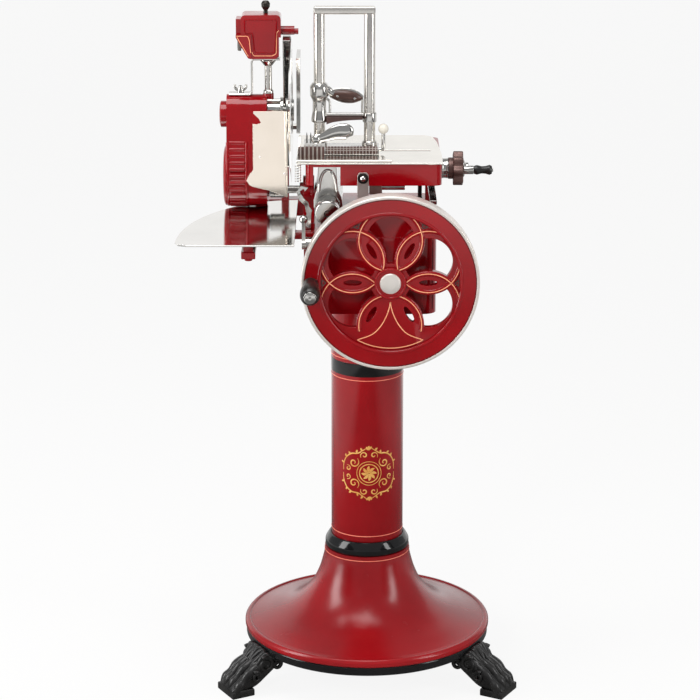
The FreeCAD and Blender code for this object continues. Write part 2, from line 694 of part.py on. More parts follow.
def make_flywheel():
    """Rim, web with five flower openings and six petal slots, and the hub."""
    axis_turn = FACING_FRONT
    rim = rod("wheel_radius", "wheel_width", (0, 0, 0))
    inside = rod("web_radius", "wheel_width + 2", (0, 0, -1))
    web = rod("web_radius + 1", "web_thick", (0, 0, "wheel_width - 8 - web_thick"))
    hub = rod(31, "wheel_width - 2", (0, 0, 0))
    wheel = fused([carved(rim, [inside]), web, hub])
    tools = [rod("axle_radius", 80, (0, 0, -5))]
    for turn in (90, 30, 150, 210, 330):
        spots = [(f"petal_pitch * {math.cos(math.radians(turn + side)):.6f}",
                  f"petal_pitch * {math.sin(math.radians(turn + side)):.6f}", -10) for side in (0, 60, -60)]
        opening = rod("opening_radius", 80, spots[0])
        tools.append(carved(opening, [rod("petal_radius", 90, spot) for spot in spots[1:]]))
    for turn in range(0, 360, 60):
        spin = FreeCAD.Rotation(VEC(0, 0, 1), turn)
        slot = doc.addObject("Part::Ellipsoid", "petal_slot")
        for name, size in (("Radius1", 40), ("Radius2", 18.5), ("Radius3", 6)):
            bind(slot, name, size)
        spot = (f"75 * {math.cos(math.radians(turn)):.6f}", f"75 * {math.sin(math.radians(turn)):.6f}",
                "wheel_width - 8 - web_thick / 2")
        place(slot, spot, spin)
        tools.append(slot)
    tools.append(rod(7, 30, (f"grip_throw * {-1:.1f}", "0", "wheel_width - 20")))
    node(carved(wheel, tools), "flywheel", ("wheel_x", "wheel_front + wheel_width", "wheel_level"), axis_turn)
    turned("hub_cap", [("0", "0"), (21, "0"), (20.5, 2), (17, 5), (9, 6.5), ("0", 7)],
           ("wheel_x", "wheel_front + 2", "wheel_level"), axis_turn)


def make_crank():
    """The stud in the rim and the bulbous grip that turns on it."""
    spot = ("wheel_x - grip_throw", "wheel_front", "wheel_level")
    turned("crank_pin", [("0", -20), (7, -20), (7, "0"), (9, "0"), (9, 2), (6, 2), (6, "grip_length + 4"),
                         (12, "grip_length + 4"), (12, "grip_length + 8"), ("0", "grip_length + 9")],
           spot, FACING_FRONT)
    turned("crank_grip", [(6.05, 3), (13, 3), (15, 8), (14, 18), (17, 40), ("grip_radius", 66),
                          ("grip_radius", 84), (17, 97), (13, "grip_length + 3.5"),
                          (6.05, "grip_length + 3.5")], spot, FACING_FRONT)


# ---- blade side

def case_profile(body, drum, lobe, lift, depth, cutting=False):
    """Pad or pocket the case's outline: a drum below, a lobe above and the band between them."""
    low, high = value("drum_level"), value("blade_level")
    slope = (drum - lobe) / (high - low)
    across = math.sqrt(1 - slope * slope)
    band = [(-drum * across, low + drum * slope), (drum * across, low + drum * slope),
            (lobe * across, high + lobe * slope), (-lobe * across, high + lobe * slope)]
    for kind in ("drum", "lobe", "band"):
        sketch = new_sketch(body, "XY_Plane", lift)
        if kind == "drum":
            draw_circle(sketch, 0, "drum_level", drum)
        elif kind == "lobe":
            draw_circle(sketch, 0, "blade_level", lobe)
        else:
            draw_polygon(sketch, band)
        if cutting:
            add_pocket(body, sketch, depth)
        else:
            add_pad(body, sketch, depth)
            doc.recompute()


def make_chain_case():
    """The case behind the tray: body with bearing noses and a rear foot, and the fluted cover."""
    drum, lobe = value("drum_radius"), value("lobe_radius")
    body = new_body("case_shell")
    case_profile(body, drum, lobe, 0, "case_right - case_split")
    case_profile(body, drum - 4, lobe - 4, 0, "case_right - case_split - 4", cutting=True)
    place(body, ("case_split", 0, 0), FACING_RIGHT)
    noses = [rod_x(15, "case_right - 2", "case_right + 4", 0, "drive_level"),
             rod_x(17, "case_right - 2", -174, 0, "blade_level"),
             rod_x(26, -178, -173, 0, "blade_level"),
             rod(11, 21, ("stone_post_x", 0, 1236)),
             block(("case_right - 28", 45, 1044), ("case_right - 2", "drum_radius", 1110))]
    inner = [rod_x(11, -214, -190, 0, "drive_level"), rod_x(13, -214, -170, 0, "blade_level")]
    socket = rod("stone_post_radius", 20, ("stone_post_x", 0, 1241))
    node(carved(fused([body] + noses + deflector_hinge()), inner + [socket]), "chain_case")
    body = new_body("cover_shell")
    case_profile(body, drum, lobe, 0, "case_split - case_left")
    case_profile(body, drum - 4, lobe - 4, 4, "case_split - case_left", cutting=True)
    place(body, ("case_left", 0, 0), FACING_RIGHT)
    medallion = rod_x(27, "case_left - 12", "case_left + 2", 0, "blade_level - 8")
    flutes = []
    for turn in list(range(-84, 37, 15)) + list(range(144, 265, 15)):
        y = 62.5 * math.cos(math.radians(turn))
        z = 62.5 * math.sin(math.radians(turn))
        flutes.append(rod_x(4.5, -280, -246, str(y), f"drum_level + {z}"))
    node(carved(fused([body, medallion]), flutes), "case_cover")


def make_case_arm():
    """The cast arm that carries the chain case and the gauge plate behind the tray."""
    pieces = [block((-240, 156, 962), ("base_left", 190, 998)),
              block((-240, "drum_radius", 962), (-208, 190, 998)),
              block((-234, "drum_radius", 990), (-208, 88, 1110)),
              block((-182, 158, 990), (-166, 188, 1164))]
    bore = rod_x("6 + running_gap", -190, -160, 173, 1152)
    node(carved(fused(pieces), [bore]), "case_arm")
    plate_blank = block((-149, 86, 1146), (-141, 236, 1306))
    edge = rod_x("blade_radius + 4", -160, -130, 0, "blade_level")
    pin = rod_x(6, -184, -148, 173, 1152)
    node(fused([carved(plate_blank, [edge]), pin]), "gauge_plate")


def make_chain():
    """The drive chain as a flat closed band round both sprockets."""
    low, high = value("drive_level"), value("blade_level")
    body = new_body("chain_blank")
    for small, cutting in ((0, False), (5, True)):
        big_r, small_r = 26.5 - small, 24.5 - small
        slope = (big_r - small_r) / (high - low)
        across = math.sqrt(1 - slope * slope)
        band = [(-big_r * across, low + big_r * slope), (big_r * across, low + big_r * slope),
                (small_r * across, high + small_r * slope), (-small_r * across, high + small_r * slope)]
        for where, radius in (("drive_level", big_r), ("blade_level", small_r), (None, None)):
            sketch = new_sketch(body)
            if where:
                draw_circle(sketch, 0, where, radius)
            else:
                draw_polygon(sketch, band)
            if cutting:
                add_pocket(body, sketch, 6)
            else:
                add_pad(body, sketch, 6)
                doc.recompute()
    node(body, "drive_chain", (-252.5, 0, 0), FACING_RIGHT)


def make_blade():
    """The round knife: a thick dished middle that thins to a bevelled edge."""
    turned("blade", [(12, "0"), (120, "0"), (128, 2), ("blade_radius - 8", 3.2), ("blade_radius", 3.9),
                     ("blade_radius", 4.2), (130, 5), (60, 5), (50, 4), (12, 4)],
           ("blade_left", 0, "blade_level"), FACING_RIGHT)
    plate_ring = rod("blade_radius + 6", 2.5, (0, 0, 0), angle=165)
    core = rod(18, 6, (0, 0, -1))
    lip = carved(rod("blade_radius + 6", 15, (0, 0, 0), angle=165), [rod("blade_radius + 3", 40, (0, 0, -10))])
    turn = FreeCAD.Rotation(VEC(1, 1, 1), 120).multiply(FreeCAD.Rotation(VEC(0, 0, 1), -62))
    node(carved(fused([plate_ring, lip]), [core]), "blade_guard", (-172.5, 0, "blade_level"), turn)


def make_deflector():
    """The polished plate that turns the slices down, hinged on an upright pin."""
    corners = [(-163, 1236.5), (-163, 1060), (-203.4, 1074.4), (-233.9, 1081.5), (-240.5, 1085),
               (-246, 1094), (-240.4, 1105.7), (-232.5, 1116), (-232.5, 1211), (-224, 1210), (-216, 1213),
               (-220, 1221.5), (-231, 1232), (-231, 1236.5)]
    sheet = plate("deflector_blank", corners, 1.5, ("0", -86.5, "0"), FACING_FRONT, finished=False)
    knuckle = rod(5, 40, (-226, -83, 1130))
    bore = rod("2 + running_gap", 60, (-226, -83, 1120))
    node(carved(fused([sheet, knuckle]), [bore]), "slice_deflector")


def deflector_hinge():
    """The pin and the two ears on the case that carry the deflector."""
    parts = [rod(2, 48, (-226, -83, 1126))]
    for low, wall in ((1122, -51), (1171, -42)):
        parts.append(rod(3.2, 7, (-226, -83, low)))
        parts.append(block((-229.2, -83, low), (-222.8, wall, low + 7)))
    return parts


def make_sharpener():
    """Post with its stay, the box that rides on it, the knob and the two parked stones."""
    post = rod("stone_post_radius", 160, ("stone_post_x", 0, 1241))
    foot = block((-283, -14, 1252), (-234, 14, 1259))
    riser = block((-238, -14, 1252), (-234, 14, "box_low - 0.5"))
    shelf = block((-238, -14, "box_low - 6"), (-178, 14, "box_low - 0.5"))
    flange = cone(9, 18, 12, ("stone_post_x", 0, "box_low - 18"))
    wing = fused([rod(3, 14, (-260, 0, 1256)), block((-271, -1.5, 1262), (-249, 1.5, 1274))])
    seat = rod_x("lobe_radius", -300, -220, 0, "blade_level")
    node(carved(fused([post, foot, riser, shelf, flange, wing]), [seat]), "sharpener_post")
    shell = fused([block((-243, -28, "box_low"), (-180, 28, "box_high")),
                   block((-257, -28, 1376), (-241, 28, "box_high")),
                   block((-182, -28, 1376), (-176, 28, "box_high"))])
    inner = block((-239, -24, "box_low + 4"), (-184, 24, "box_high - 4"))
    shoulder = block((-267, -20, 1380), (-255, 20, 1412))
    gusset = plate("gusset_blank", [(-267, 1382), (-267, 1376), (-243, 1334.5), (-236, 1334.5), (-236, 1382)],
                   3.1, ("0", -27.9, "0"), FACING_FRONT, finished=False)
    arm = rod_x(9, -182, -149, 0, 1386)
    cap = rod_x(6, -150, -141, 0, 1384)
    way = rod("stone_post_radius + running_gap", "box_high - box_low - 10", ("stone_post_x", 0, "box_low - 2"))
    sleeve = rod(12, "box_high - box_low - 8", ("stone_post_x", 0, "box_low + 2"))
    bores = [rod_x("3 + running_gap", -250, -236, side, "stone_level") for side in (-14, 14)]
    solid = fused([carved(shell, [inner]), shoulder, gusset, arm, cap, sleeve])
    knob_hole = rod("3 + running_gap", 12, (-207, 0, "box_high - 8"))
    node(carved(solid, [way, knob_hole] + bores), "sharpener_box")
    turned("sharpener_knob", [("0", -7), (3, -7), (3, 0.5), (5, 0.5), (4, 6), (8.5, 13), (9, 20), (6, 25),
                              ("0", 26)], (-207, 0, "box_high"))
    for name, side in (("grinding_stone", -14), ("honing_stone", 14)):
        turned(name, [("0", "0"), (12, "0"), (13.5, 2), (13.5, 7), (5, 8), (3, 8), (3, 24), ("0", 24)],
               (-264, side, "stone_level"), FACING_RIGHT)


def make_tray():
    """The polished receiving tray with one long curved edge, and the bracket it lies on."""
    reach = value("tray_right - tray_left")
    depth = value("tray_depth")
    centre_y = value("tray_front") + 25
    points = [("tray_right", "tray_front"), ("tray_left + 25", "tray_front"), ("tray_left + 7", "tray_front + 7")]
    for step in range(0, 91, 6):
        turn = math.radians(step)
        points.append((f"tray_right - {reach * math.cos(turn):.3f}", f"{centre_y + depth * math.sin(turn):.3f}"))
    plate("receiving_tray", points[::-1], 3.5, ("0", "0", "tray_top - 3.5"))
    arms = [block((-250, -138, 984), ("base_left", -112, 998)),
            block((-250, -300, 984), (-222, -112, 998)),
            rod(8, 6, (-236, -288, 979))]
    for left, right, front, rear in ((-246, -226, -134, -116), (-246, -226, -298, -280), (-168, -150, -134, -116)):
        arms.append(block((left, front, 994), (right, rear, "tray_top - 3.5")))
    node(fused(arms), "tray_bracket")


# ---- the carriage

def make_carriage():
    """Red casting, table, front plate, chrome shoe on the main rail, and the side roller."""
    body = new_body("carriage_shell")
    shell = new_sketch(body, "XY_Plane", "carriage_low")
    draw_polygon(shell, oblong(-126, 148, "table_front + 4", "table_rear - 4"))
    add_pad(body, shell, "table_top - table_thick - carriage_low")
    add_fillet(body, 14, is_upright)
    hollow = new_sketch(body, "XY_Plane", "carriage_low")
    draw_polygon(hollow, oblong(-120, 142, "table_front + 10", "table_rear - 10"))
    add_pocket(body, hollow, "table_top - table_thick - carriage_low - 6")
    lug = block((116, 38, "fork_level - 9"), (124, 60, "table_top - table_thick - 2"))
    bracket = block((140, -68, 1082), (148, -52, 1097))
    pin = rod_x(6, 103, 118, "fork_y", "fork_level")
    bearing = rod_x(20, 142, 164, "screw_y", "screw_level")
    solid = fused([body, lug, bracket, pin, bearing, rod_x(4, 124, 144, -60, 1086.3)])
    cuts = [block((-110, "table_front - 5", "carriage_low - 5"), (-56, "table_front + 34", 1132.5)),
            block((-16, -30, 1110), (128, -10, 1150)),
            rod_x("screw_radius + running_gap", 100, 170, "screw_y", "screw_level")]
    node(carved(solid, cuts), "carriage_body")
    table = [("table_left", "table_front"), ("table_right", "table_front"), ("table_right", -40),
             ("table_right - 6", 66), ("table_right - 14", "table_rear - 12"),
             ("table_right - 30", "table_rear"), ("table_left", "table_rear")]
    blank = plate("table_blank", table, "table_thick", ("0", "0", "table_top - table_thick"), finished=False)
    node(carved(blank, [block((-16, -24.5, 1120), (128, -15.5, 1150))]), "table_plate")
    plate("slide_plate", oblong("table_left", 48, "table_front", "table_front + 44"), 6,
          ("0", "0", "table_top"))
    shoe = plate("shoe_blank", [(-109.4, 1046), (-109.4, 1062), (-103, 1086), (-100, 1131.5), (-64, 1131.5),
                                (-61, 1086), (-52, 1064), (-50, 1036), (-81, 1038)], 161, ("0", 36, "0"),
                 FACING_FRONT, finished=False)
    tunnel = rod_y("rail_radius + running_gap", -150, 60, "rail_x", "rail_level")
    node(carved(shoe, [tunnel]), "carriage_shoe")
    turned("carriage_roller", [("4 + running_gap", "0"), (12, "0"), (12, 10), ("4 + running_gap", 10)],
           (126, -60, 1086.3), FACING_RIGHT)


def make_feed():
    """The feed screw, its rosette handwheel with a small crank, and the grip."""
    turned("lead_screw", [("0", "0"), ("screw_radius", "0"), ("screw_radius", 216), ("0", 216)],
           (-36, "screw_y", "screw_level"), FACING_RIGHT)
    flange = rod_x(22, 164.5, 175, "screw_y", "screw_level")
    rosette = rod_x(30, 174, 195, "screw_y", "screw_level")
    lobes = []
    for turn in range(0, 360, 45):
        y = 26 * math.cos(math.radians(turn))
        z = 26 * math.sin(math.radians(turn))
        lobes.append(rod_x(9.5, 174, 195, f"screw_y + {y}", f"screw_level + {z}"))
    crank = fused([rod_x(12, 194, 206, "screw_y", "screw_level"), rod_x(9, 194, 216, "screw_y - 16", "screw_level"),
                   rod_x(4, 214, 256, "screw_y - 16", "screw_level")])
    bore = rod_x("screw_radius", 160, 181, "screw_y", "screw_level")
    node(carved(fused([flange, rosette, crank] + lobes), [bore]), "handwheel")
    turned("handwheel_grip", [(4.05, "0"), (8, "0"), (10, 6), (7.5, 16), (8, 24), (10.5, 32), (8, 37),
                              (4.05, 37)], (216.5, "screw_y - 16", "screw_level"), FACING_RIGHT)


def make_vice():
    """Vice base with its nut, the two-column frame, and the press that rides on the columns."""
    gap = 0.4
    bed = f"table_top + {gap}"
    pieces = [block((-129, -91, bed), (22, -50, 1164)), block((-129, -91, 1160), (-87, -50, 1172)),
              block((-14, -60, bed), (14, -8, 1152)),
              block((-9, -28.5, 1094), (9, -11.5, 1120)),
              block((-9, -23.5, 1118), (9, -16.5, 1146)),
              block((-112, -91, 1162), (-98, -87.5, 1188))]
    lever_hole = rod_y("3 + running_gap", -95, -80, -105, 1181)
    nut = rod_x("screw_radius + running_gap", -20, 20, "screw_y", "screw_level")
    posts = [rod("post_radius", 60, (x, "post_y", 1150)) for x in ("post_left", "post_right")]
    node(carved(fused(pieces), [nut, lever_hole] + posts), "vice_base")
    columns = [rod("post_radius", "post_high - 1150", (x, "post_y", 1150)) for x in ("post_left", "post_right")]
    bar = block(("post_left", "post_y - 7", "post_high - 14"), ("post_right", "post_y + 7", "post_high"))
    caps = [ball("post_radius", (x, "post_y", "post_high - 6")) for x in ("post_left", "post_right")]
    node(fused(columns + [bar] + caps), "press_frame")
    sleeves = [rod(14.5, 72, ("post_left", "post_y", 1222)), rod(13.5, 34, ("post_right", "post_y", 1222))]
    rails = [block(("post_left + 12.5", "post_y - 6", 1222), ("post_right - 11.8", "post_y + 6", 1228)),
             block(("post_left + 12.5", "post_y - 6", 1222), (-78, "post_y + 6", 1256)),
             block(("post_left + 12.5", "post_y - 6", 1252), (-77, "post_y + 6", 1274)),
             rod_x(4, -80, -30, "post_y", 1264)]
    ways = [rod("post_radius + running_gap", 90, (x, "post_y", 1215)) for x in ("post_left", "post_right")]
    node(carved(fused(sleeves + rails), ways), "press_arm")
    turned("press_handle", [("4 + running_gap", "0"), (8, "0"), (12, 15), (13.5, 33), (11.5, 51), (6, 64),
                            ("0", 67), ("0", 48), ("4 + running_gap", 48)], (-77, "post_y", 1264), FACING_RIGHT)
    plate("press_plate", oblong(-84, -12, -89, -47), 8, ("0", "0", 1214), corner_radius=6)
    spoon = plate("spoon_blank", [(-109, 1176), (-104, 1176), (-96, 1178), (-72, 1182), (-48, 1180), (-34, 1188),
                                  (-36, 1196), (-56, 1202), (-80, 1198), (-100, 1188), (-109, 1186)], 12,
                  ("0", -92, "0"), FACING_FRONT, finished=False)
    pivot = rod_y(3, -106, -87.5, -105, 1181)
    node(fused([spoon, pivot]), "clamp_lever")


def make_levers():
    """Strap lever on the carriage's front, thickness lever and trip lever on the base."""
    strap = plate("strap_blank", [(-22, 1116), (-22, 1066), (-4, 1060), (1, 1066), (1, 1116), (-3, 1122),
                                  (-18, 1122)], 3, ("0", "table_front + 3.5", "0"), FACING_FRONT,
                  finished=False)
    screw = rod_y(8.5, "table_front - 4", "table_front + 2", -10.5, 1111)
    node(fused([strap, screw]), "feed_lever")
    hub = rod_x(15, -126, "base_left - 0.4", -172, 982)
    arm = block((-133, -177, 980), (-126, -167, 1030))
    knob = ball(8.5, (-129.5, -172, 1034))
    node(fused([hub, arm, knob, rod_x(10, -133, -125, -172, 982)]), "thickness_lever")
    hook = plate("hook_blank", [(-128, 992), (-117, 992), (-115, 1030), (-122, 1052), (-134, 1062), (-138, 1074),
                                (-130, 1080), (-128, 1074), (-121, 1082), (-136, 1084), (-145, 1072),
                                (-140, 1056), (-128, 1044), (-125, 1028)], 4, ("0", -94, "0"), FACING_FRONT,
                 finished=False)
    link_bar = plate("link_blank", [(-142, 1066), (-136, 1070), (-113, 1034), (-118, 1028)], 4, ("0", -98.5, "0"),
                     FACING_FRONT, finished=False)
    stud = rod_y(7, -106, -83, -122.5, 996)
    spacer = rod_y(3, -101, -94, -118, 1034)
    node(fused([hook, link_bar, stud, spacer]), "trip_lever")


make_feet()
make_pedestal_base()
make_pedestal_rings()
make_column()
make_machine_base()
make_base_covers()
make_gearbox()
make_bushes()
make_shafts(make_gears())
make_rocker()
make_flywheel()
make_crank()
make_chain_case()
make_case_arm()
make_chain()
make_blade()
make_deflector()
make_sharpener()
make_tray()
make_carriage()
make_feed()
make_vice()
make_levers()
doc.recompute()

bad = [item.Label for item in doc.Objects if "Invalid" in item.State or "Error" in item.State]
bad += [item.Label for item in nodes if item.Shape.isNull() or not item.Shape.isValid()]
if bad:
    raise RuntimeError("failed: " + ", ".join(bad))

os.makedirs("parts", exist_ok=True)
for item in nodes:
    item.Shape.exportStep(f"parts/{item.Label}.step")
print(len(nodes), "sub-parts written")
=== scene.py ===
import math

import bmesh
import bpy
import numpy as np
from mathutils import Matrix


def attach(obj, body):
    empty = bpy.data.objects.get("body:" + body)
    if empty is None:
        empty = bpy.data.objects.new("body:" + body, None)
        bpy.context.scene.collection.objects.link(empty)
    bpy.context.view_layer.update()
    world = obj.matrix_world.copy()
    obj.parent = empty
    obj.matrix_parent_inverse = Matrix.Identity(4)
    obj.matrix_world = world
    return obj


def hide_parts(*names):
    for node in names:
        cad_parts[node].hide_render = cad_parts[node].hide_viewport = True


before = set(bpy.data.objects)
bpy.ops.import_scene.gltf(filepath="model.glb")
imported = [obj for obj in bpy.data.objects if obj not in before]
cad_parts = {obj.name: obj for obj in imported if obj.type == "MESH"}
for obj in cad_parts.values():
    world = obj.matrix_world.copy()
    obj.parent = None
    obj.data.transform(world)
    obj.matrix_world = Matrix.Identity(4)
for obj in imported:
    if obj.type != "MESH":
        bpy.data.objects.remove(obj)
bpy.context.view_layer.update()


# ---- Studio: a pale sweep of paper under and behind the slicer, two tall soft boxes beside it, one in
# ---- front and one above, two dark flags and a pale room. The camera stands in front, looking down.

def linear(red, green, blue):
    """The linear colour of a tone given in 0 to 255 as a screen shows it."""
    parts = np.array([red, green, blue]) / 255.0
    low = parts / 12.92
    high = ((parts + 0.055) / 1.055) ** 2.4
    return [float(part) for part in np.where(parts <= 0.04045, low, high)] + [1.0]


def quads_over(rows, columns, wrap_rows=False, wrap_columns=False):
    """Corner numbers of the quads that join neighbouring points of a grid, row by row."""
    i, j = np.meshgrid(np.arange(rows - (not wrap_rows)), np.arange(columns - (not wrap_columns)),
                       indexing="ij")
    after_i = (i + 1) % rows
    after_j = (j + 1) % columns
    corners = [i * columns + j, after_i * columns + j, after_i * columns + after_j, i * columns + after_j]
    return np.stack(corners, -1).reshape(-1, 4).tolist()


def sweep_of_paper():
    """A floor that turns up into a wall: (distance, height) runs flat, round a quarter circle and up."""
    bend = np.linspace(0, math.pi / 2, 17)
    back = np.concatenate([[-9.0], 6.2 + 1.4 * np.sin(bend), [7.6]])
    rise = np.concatenate([[0.0], 1.4 - 1.4 * np.cos(bend), [7.0]])
    side = np.array([-9.0, 9.0])
    x = np.broadcast_to(side[None, :], (len(back), 2))
    points = np.stack([x, np.broadcast_to(back[:, None], x.shape),
                       np.broadcast_to(rise[:, None], x.shape)], -1)
    mesh = bpy.data.meshes.new("paper_sweep")
    mesh.from_pydata(points.reshape(-1, 3).tolist(), [], quads_over(len(back), 2))
    mesh.polygons.foreach_set("use_smooth", [True] * len(mesh.polygons))
    mesh.flip_normals()
    return bpy.data.objects.new("paper_sweep", mesh)


def ramp(tree, source, start, end, low, high):
    """A value that runs from low at start to high at end and stays level outside."""
    spread = tree.nodes.new("ShaderNodeMapRange")
    for name, number in (("From Min", start), ("From Max", end), ("To Min", low), ("To Max", high)):
        spread.inputs[name].default_value = number
    tree.links.new(source, spread.inputs["Value"])
    return spread.outputs["Result"]


def reckoned(tree, operation, first, second):
    """The result of a sum on two values; the second may be a plain number."""
    node = tree.nodes.new("ShaderNodeMath")
    node.operation = operation
    tree.links.new(first, node.inputs[0])
    if isinstance(second, float):
        node.inputs[1].default_value = second
    else:
        tree.links.new(second, node.inputs[1])
    return node.outputs[0]


def blended(tree, share, first, second, last):
    """Two shaders mixed by a share and joined to the node named last."""
    blend = tree.nodes.new("ShaderNodeMixShader")
    for source, entry in zip((share, first.outputs[0], second.outputs[0]), list(blend.inputs)):
        tree.links.new(source, entry)
    tree.links.new(blend.outputs[0], tree.nodes[last].inputs["Surface"])


PAPER_GLOW = 0.9
DIM_PAINTED_REFLECTION = 0.10
paper = bpy.data.materials.new("studio_paper")
paper.use_nodes = True
paper_tree = paper.node_tree
paper_shader = paper_tree.nodes["Principled BSDF"]
paper_shader.inputs["Base Color"].default_value = linear(226, 225, 222)
paper_shader.inputs["Roughness"].default_value = 0.9
white = paper_tree.nodes.new("ShaderNodeEmission")
white.inputs["Color"].default_value = linear(255, 255, 255)
place = paper_tree.nodes.new("ShaderNodeTexCoord")
split = paper_tree.nodes.new("ShaderNodeSeparateXYZ")
paper_tree.links.new(place.outputs["Object"], split.inputs[0])
across, away = split.outputs["X"], split.outputs["Y"]
# What polished parts see of the paper is painted reflection. Its glow is full far in front and far behind,
# 0.8 at the left, half at the right and dim near the set, so metal shows bright and dark strips. Camera rays
# still see the paper evenly white.
painted_reflection_glow = reckoned(paper_tree, "MAXIMUM", ramp(paper_tree, away, -4.4, -3.2, 1.0, DIM_PAINTED_REFLECTION),
                ramp(paper_tree, away, 0.8, 2.0, DIM_PAINTED_REFLECTION, 1.0))
painted_reflection_glow = reckoned(paper_tree, "MAXIMUM", painted_reflection_glow, ramp(paper_tree, across, -1.5, -0.9, 0.8, DIM_PAINTED_REFLECTION))
painted_reflection_glow = reckoned(paper_tree, "MAXIMUM", painted_reflection_glow, ramp(paper_tree, across, 0.9, 1.7, DIM_PAINTED_REFLECTION, 0.5))
rays = paper_tree.nodes.new("ShaderNodeLightPath")
seen, mirrored = rays.outputs["Is Camera Ray"], rays.outputs["Is Glossy Ray"]
paper_tree.links.new(reckoned(paper_tree, "MAXIMUM", seen, painted_reflection_glow), white.inputs["Strength"])
share = reckoned(paper_tree, "MULTIPLY", reckoned(paper_tree, "MAXIMUM", seen, mirrored), PAPER_GLOW)
blended(paper_tree, share, paper_shader, white, "Material Output")
paper_sweep = sweep_of_paper()
paper_sweep.data.materials.append(paper)
bpy.context.scene.collection.objects.link(paper_sweep)


def soft_box(name, place, aim, width, height, power):
    """A rectangular lamp at a place, turned to face a point."""
    lamp = bpy.data.lights.new(name, "AREA")
    lamp.shape = "RECTANGLE"
    lamp.size = width
    lamp.size_y = height
    lamp.energy = power
    holder = bpy.data.objects.new(name, lamp)
    bpy.context.scene.collection.objects.link(holder)
    holder.location = place
    towards = np.array(aim) - np.array(place)
    flat = math.hypot(towards[0], towards[1])
    holder.rotation_euler = (math.atan2(flat, -towards[2]), 0, math.atan2(towards[0], -towards[1]) + math.pi)
    return holder


soft_box("left_soft_box", (-3.0, -0.9, 1.7), (0.0, 0.0, 0.8), 1.1, 2.8, 70)
front_soft_box = soft_box("front_soft_box", (-1.5, -4.2, 2.9), (0.0, 0.0, 0.8), 0.9, 0.9, 75)
front_soft_box.visible_glossy = False
soft_box("right_soft_box", (2.9, -1.6, 1.7), (0.0, 0.0, 0.8), 0.7, 2.4, 36)
soft_box("top_soft_box", (-0.4, -0.6, 3.6), (0.0, 0.0, 0.8), 2.2, 1.6, 55)


def dark_flag(name, x):
    """A dark upright screen beside the set, which only polished surfaces see."""
    mesh = bpy.data.meshes.new(name)
    mesh.from_pydata([(x, y, z) for y, z in ((-4.5, 0), (-0.7, 0), (-0.7, 3.4), (-4.5, 3.4))], [],
                     [(0, 1, 2, 3)])
    mesh.materials.append(flag_cloth)
    flag = bpy.data.objects.new(name, mesh)
    flag.visible_camera = False
    flag.visible_diffuse = False
    flag.visible_shadow = False
    bpy.context.scene.collection.objects.link(flag)


flag_cloth = bpy.data.materials.new("flag_cloth")
flag_cloth.use_nodes = True
flag_cloth.node_tree.nodes["Principled BSDF"].inputs["Base Color"].default_value = linear(34, 33, 34)
flag_cloth.node_tree.nodes["Principled BSDF"].inputs["Roughness"].default_value = 1.0
dark_flag("left_flag", -3.4)
dark_flag("right_flag", 3.4)

room = bpy.data.worlds.new("pale_room")
bpy.context.scene.world = room
room.use_nodes = True
room_light = room.node_tree.nodes["Background"]
room_light.inputs["Color"].default_value = linear(232, 233, 235)
room_light.inputs["Strength"].default_value = 0.42
room_seen = room.node_tree.nodes.new("ShaderNodeBackground")
room_seen.inputs["Color"].default_value = linear(254, 254, 254)
room_rays = room.node_tree.nodes.new("ShaderNodeLightPath")
blended(room.node_tree, room_rays.outputs["Is Camera Ray"], room_light, room_seen, "World Output")

lens = bpy.data.cameras.new("front_camera")
lens.sensor_width = 36.0
lens.lens = 133.7
camera = bpy.data.objects.new("front_camera", lens)
camera.location = (-0.0048, -5.2215, 2.261)
camera.rotation_euler = (math.radians(90 - 16.5), 0.0, 0.0)
bpy.context.scene.collection.objects.link(camera)
bpy.context.scene.camera = camera
bpy.context.scene.view_settings.view_transform = "Standard"


# ---- Feet: three lion paws of cast iron, painted black and bolted up under the skirt of the pedestal.
# ---- Each has a flat sole, four toes with claws, and a leg whose fur sweeps up into curls.

COLUMN_AXIS = np.array([31.7, 13.5, 0.0])


def finish(name, slot, light, dark, metal, gloss, patch, grain, relief, coat=0.0, stretch=(1.0, 1.0, 1.0)):
    """A material with its slot: cloudy patches from dark to light, smudged gloss and a fine relief.

    gloss holds the least and the most roughness, patch is the number of patches per metre and grain that
    of the relief; stretch draws all of them out.
    """
    material = bpy.data.materials.new(name)
    material.use_nodes = True
    nodes = material.node_tree.nodes
    links = material.node_tree.links
    shader = nodes["Principled BSDF"]
    shader.inputs["Metallic"].default_value = metal
    shader.inputs["Coat Weight"].default_value = coat
    shader.inputs["Coat Roughness"].default_value = 0.06
    shader.inputs["Specular IOR Level"].default_value = 0.1 if coat > 0.5 else 0.5
    where = nodes.new("ShaderNodeTexCoord")
    drawn = nodes.new("ShaderNodeMapping")
    drawn.inputs["Scale"].default_value = stretch
    links.new(where.outputs["Object"], drawn.inputs["Vector"])
    noises = []
    for scale, detail, rough in ((patch, 4.0, 0.5), (patch * 2.7, 6.0, 0.65), (grain, 3.0, 0.5)):
        noise = nodes.new("ShaderNodeTexNoise")
        noise.inputs["Scale"].default_value = scale
        noise.inputs["Detail"].default_value = detail
        noise.inputs["Roughness"].default_value = rough
        links.new(drawn.outputs["Vector"], noise.inputs["Vector"])
        noises.append(noise.outputs["Fac"])
    clouds, smudge, fine = noises
    tint = nodes.new("ShaderNodeValToRGB")
    for stop, position, colour in zip(tint.color_ramp.elements, (0.3, 0.72), (dark, light)):
        stop.position = position
        stop.color = linear(*colour)
    links.new(clouds, tint.inputs["Fac"])
    links.new(tint.outputs["Color"], shader.inputs["Base Color"])
    links.new(ramp(material.node_tree, smudge, 0.3, 0.75, *gloss), shader.inputs["Roughness"])
    bump = nodes.new("ShaderNodeBump")
    bump.inputs["Strength"].default_value = relief
    bump.inputs["Distance"].default_value = 0.0006
    links.new(fine, bump.inputs["Height"])
    links.new(bump.outputs["Normal"], shader.inputs["Normal"])
    return material, slot


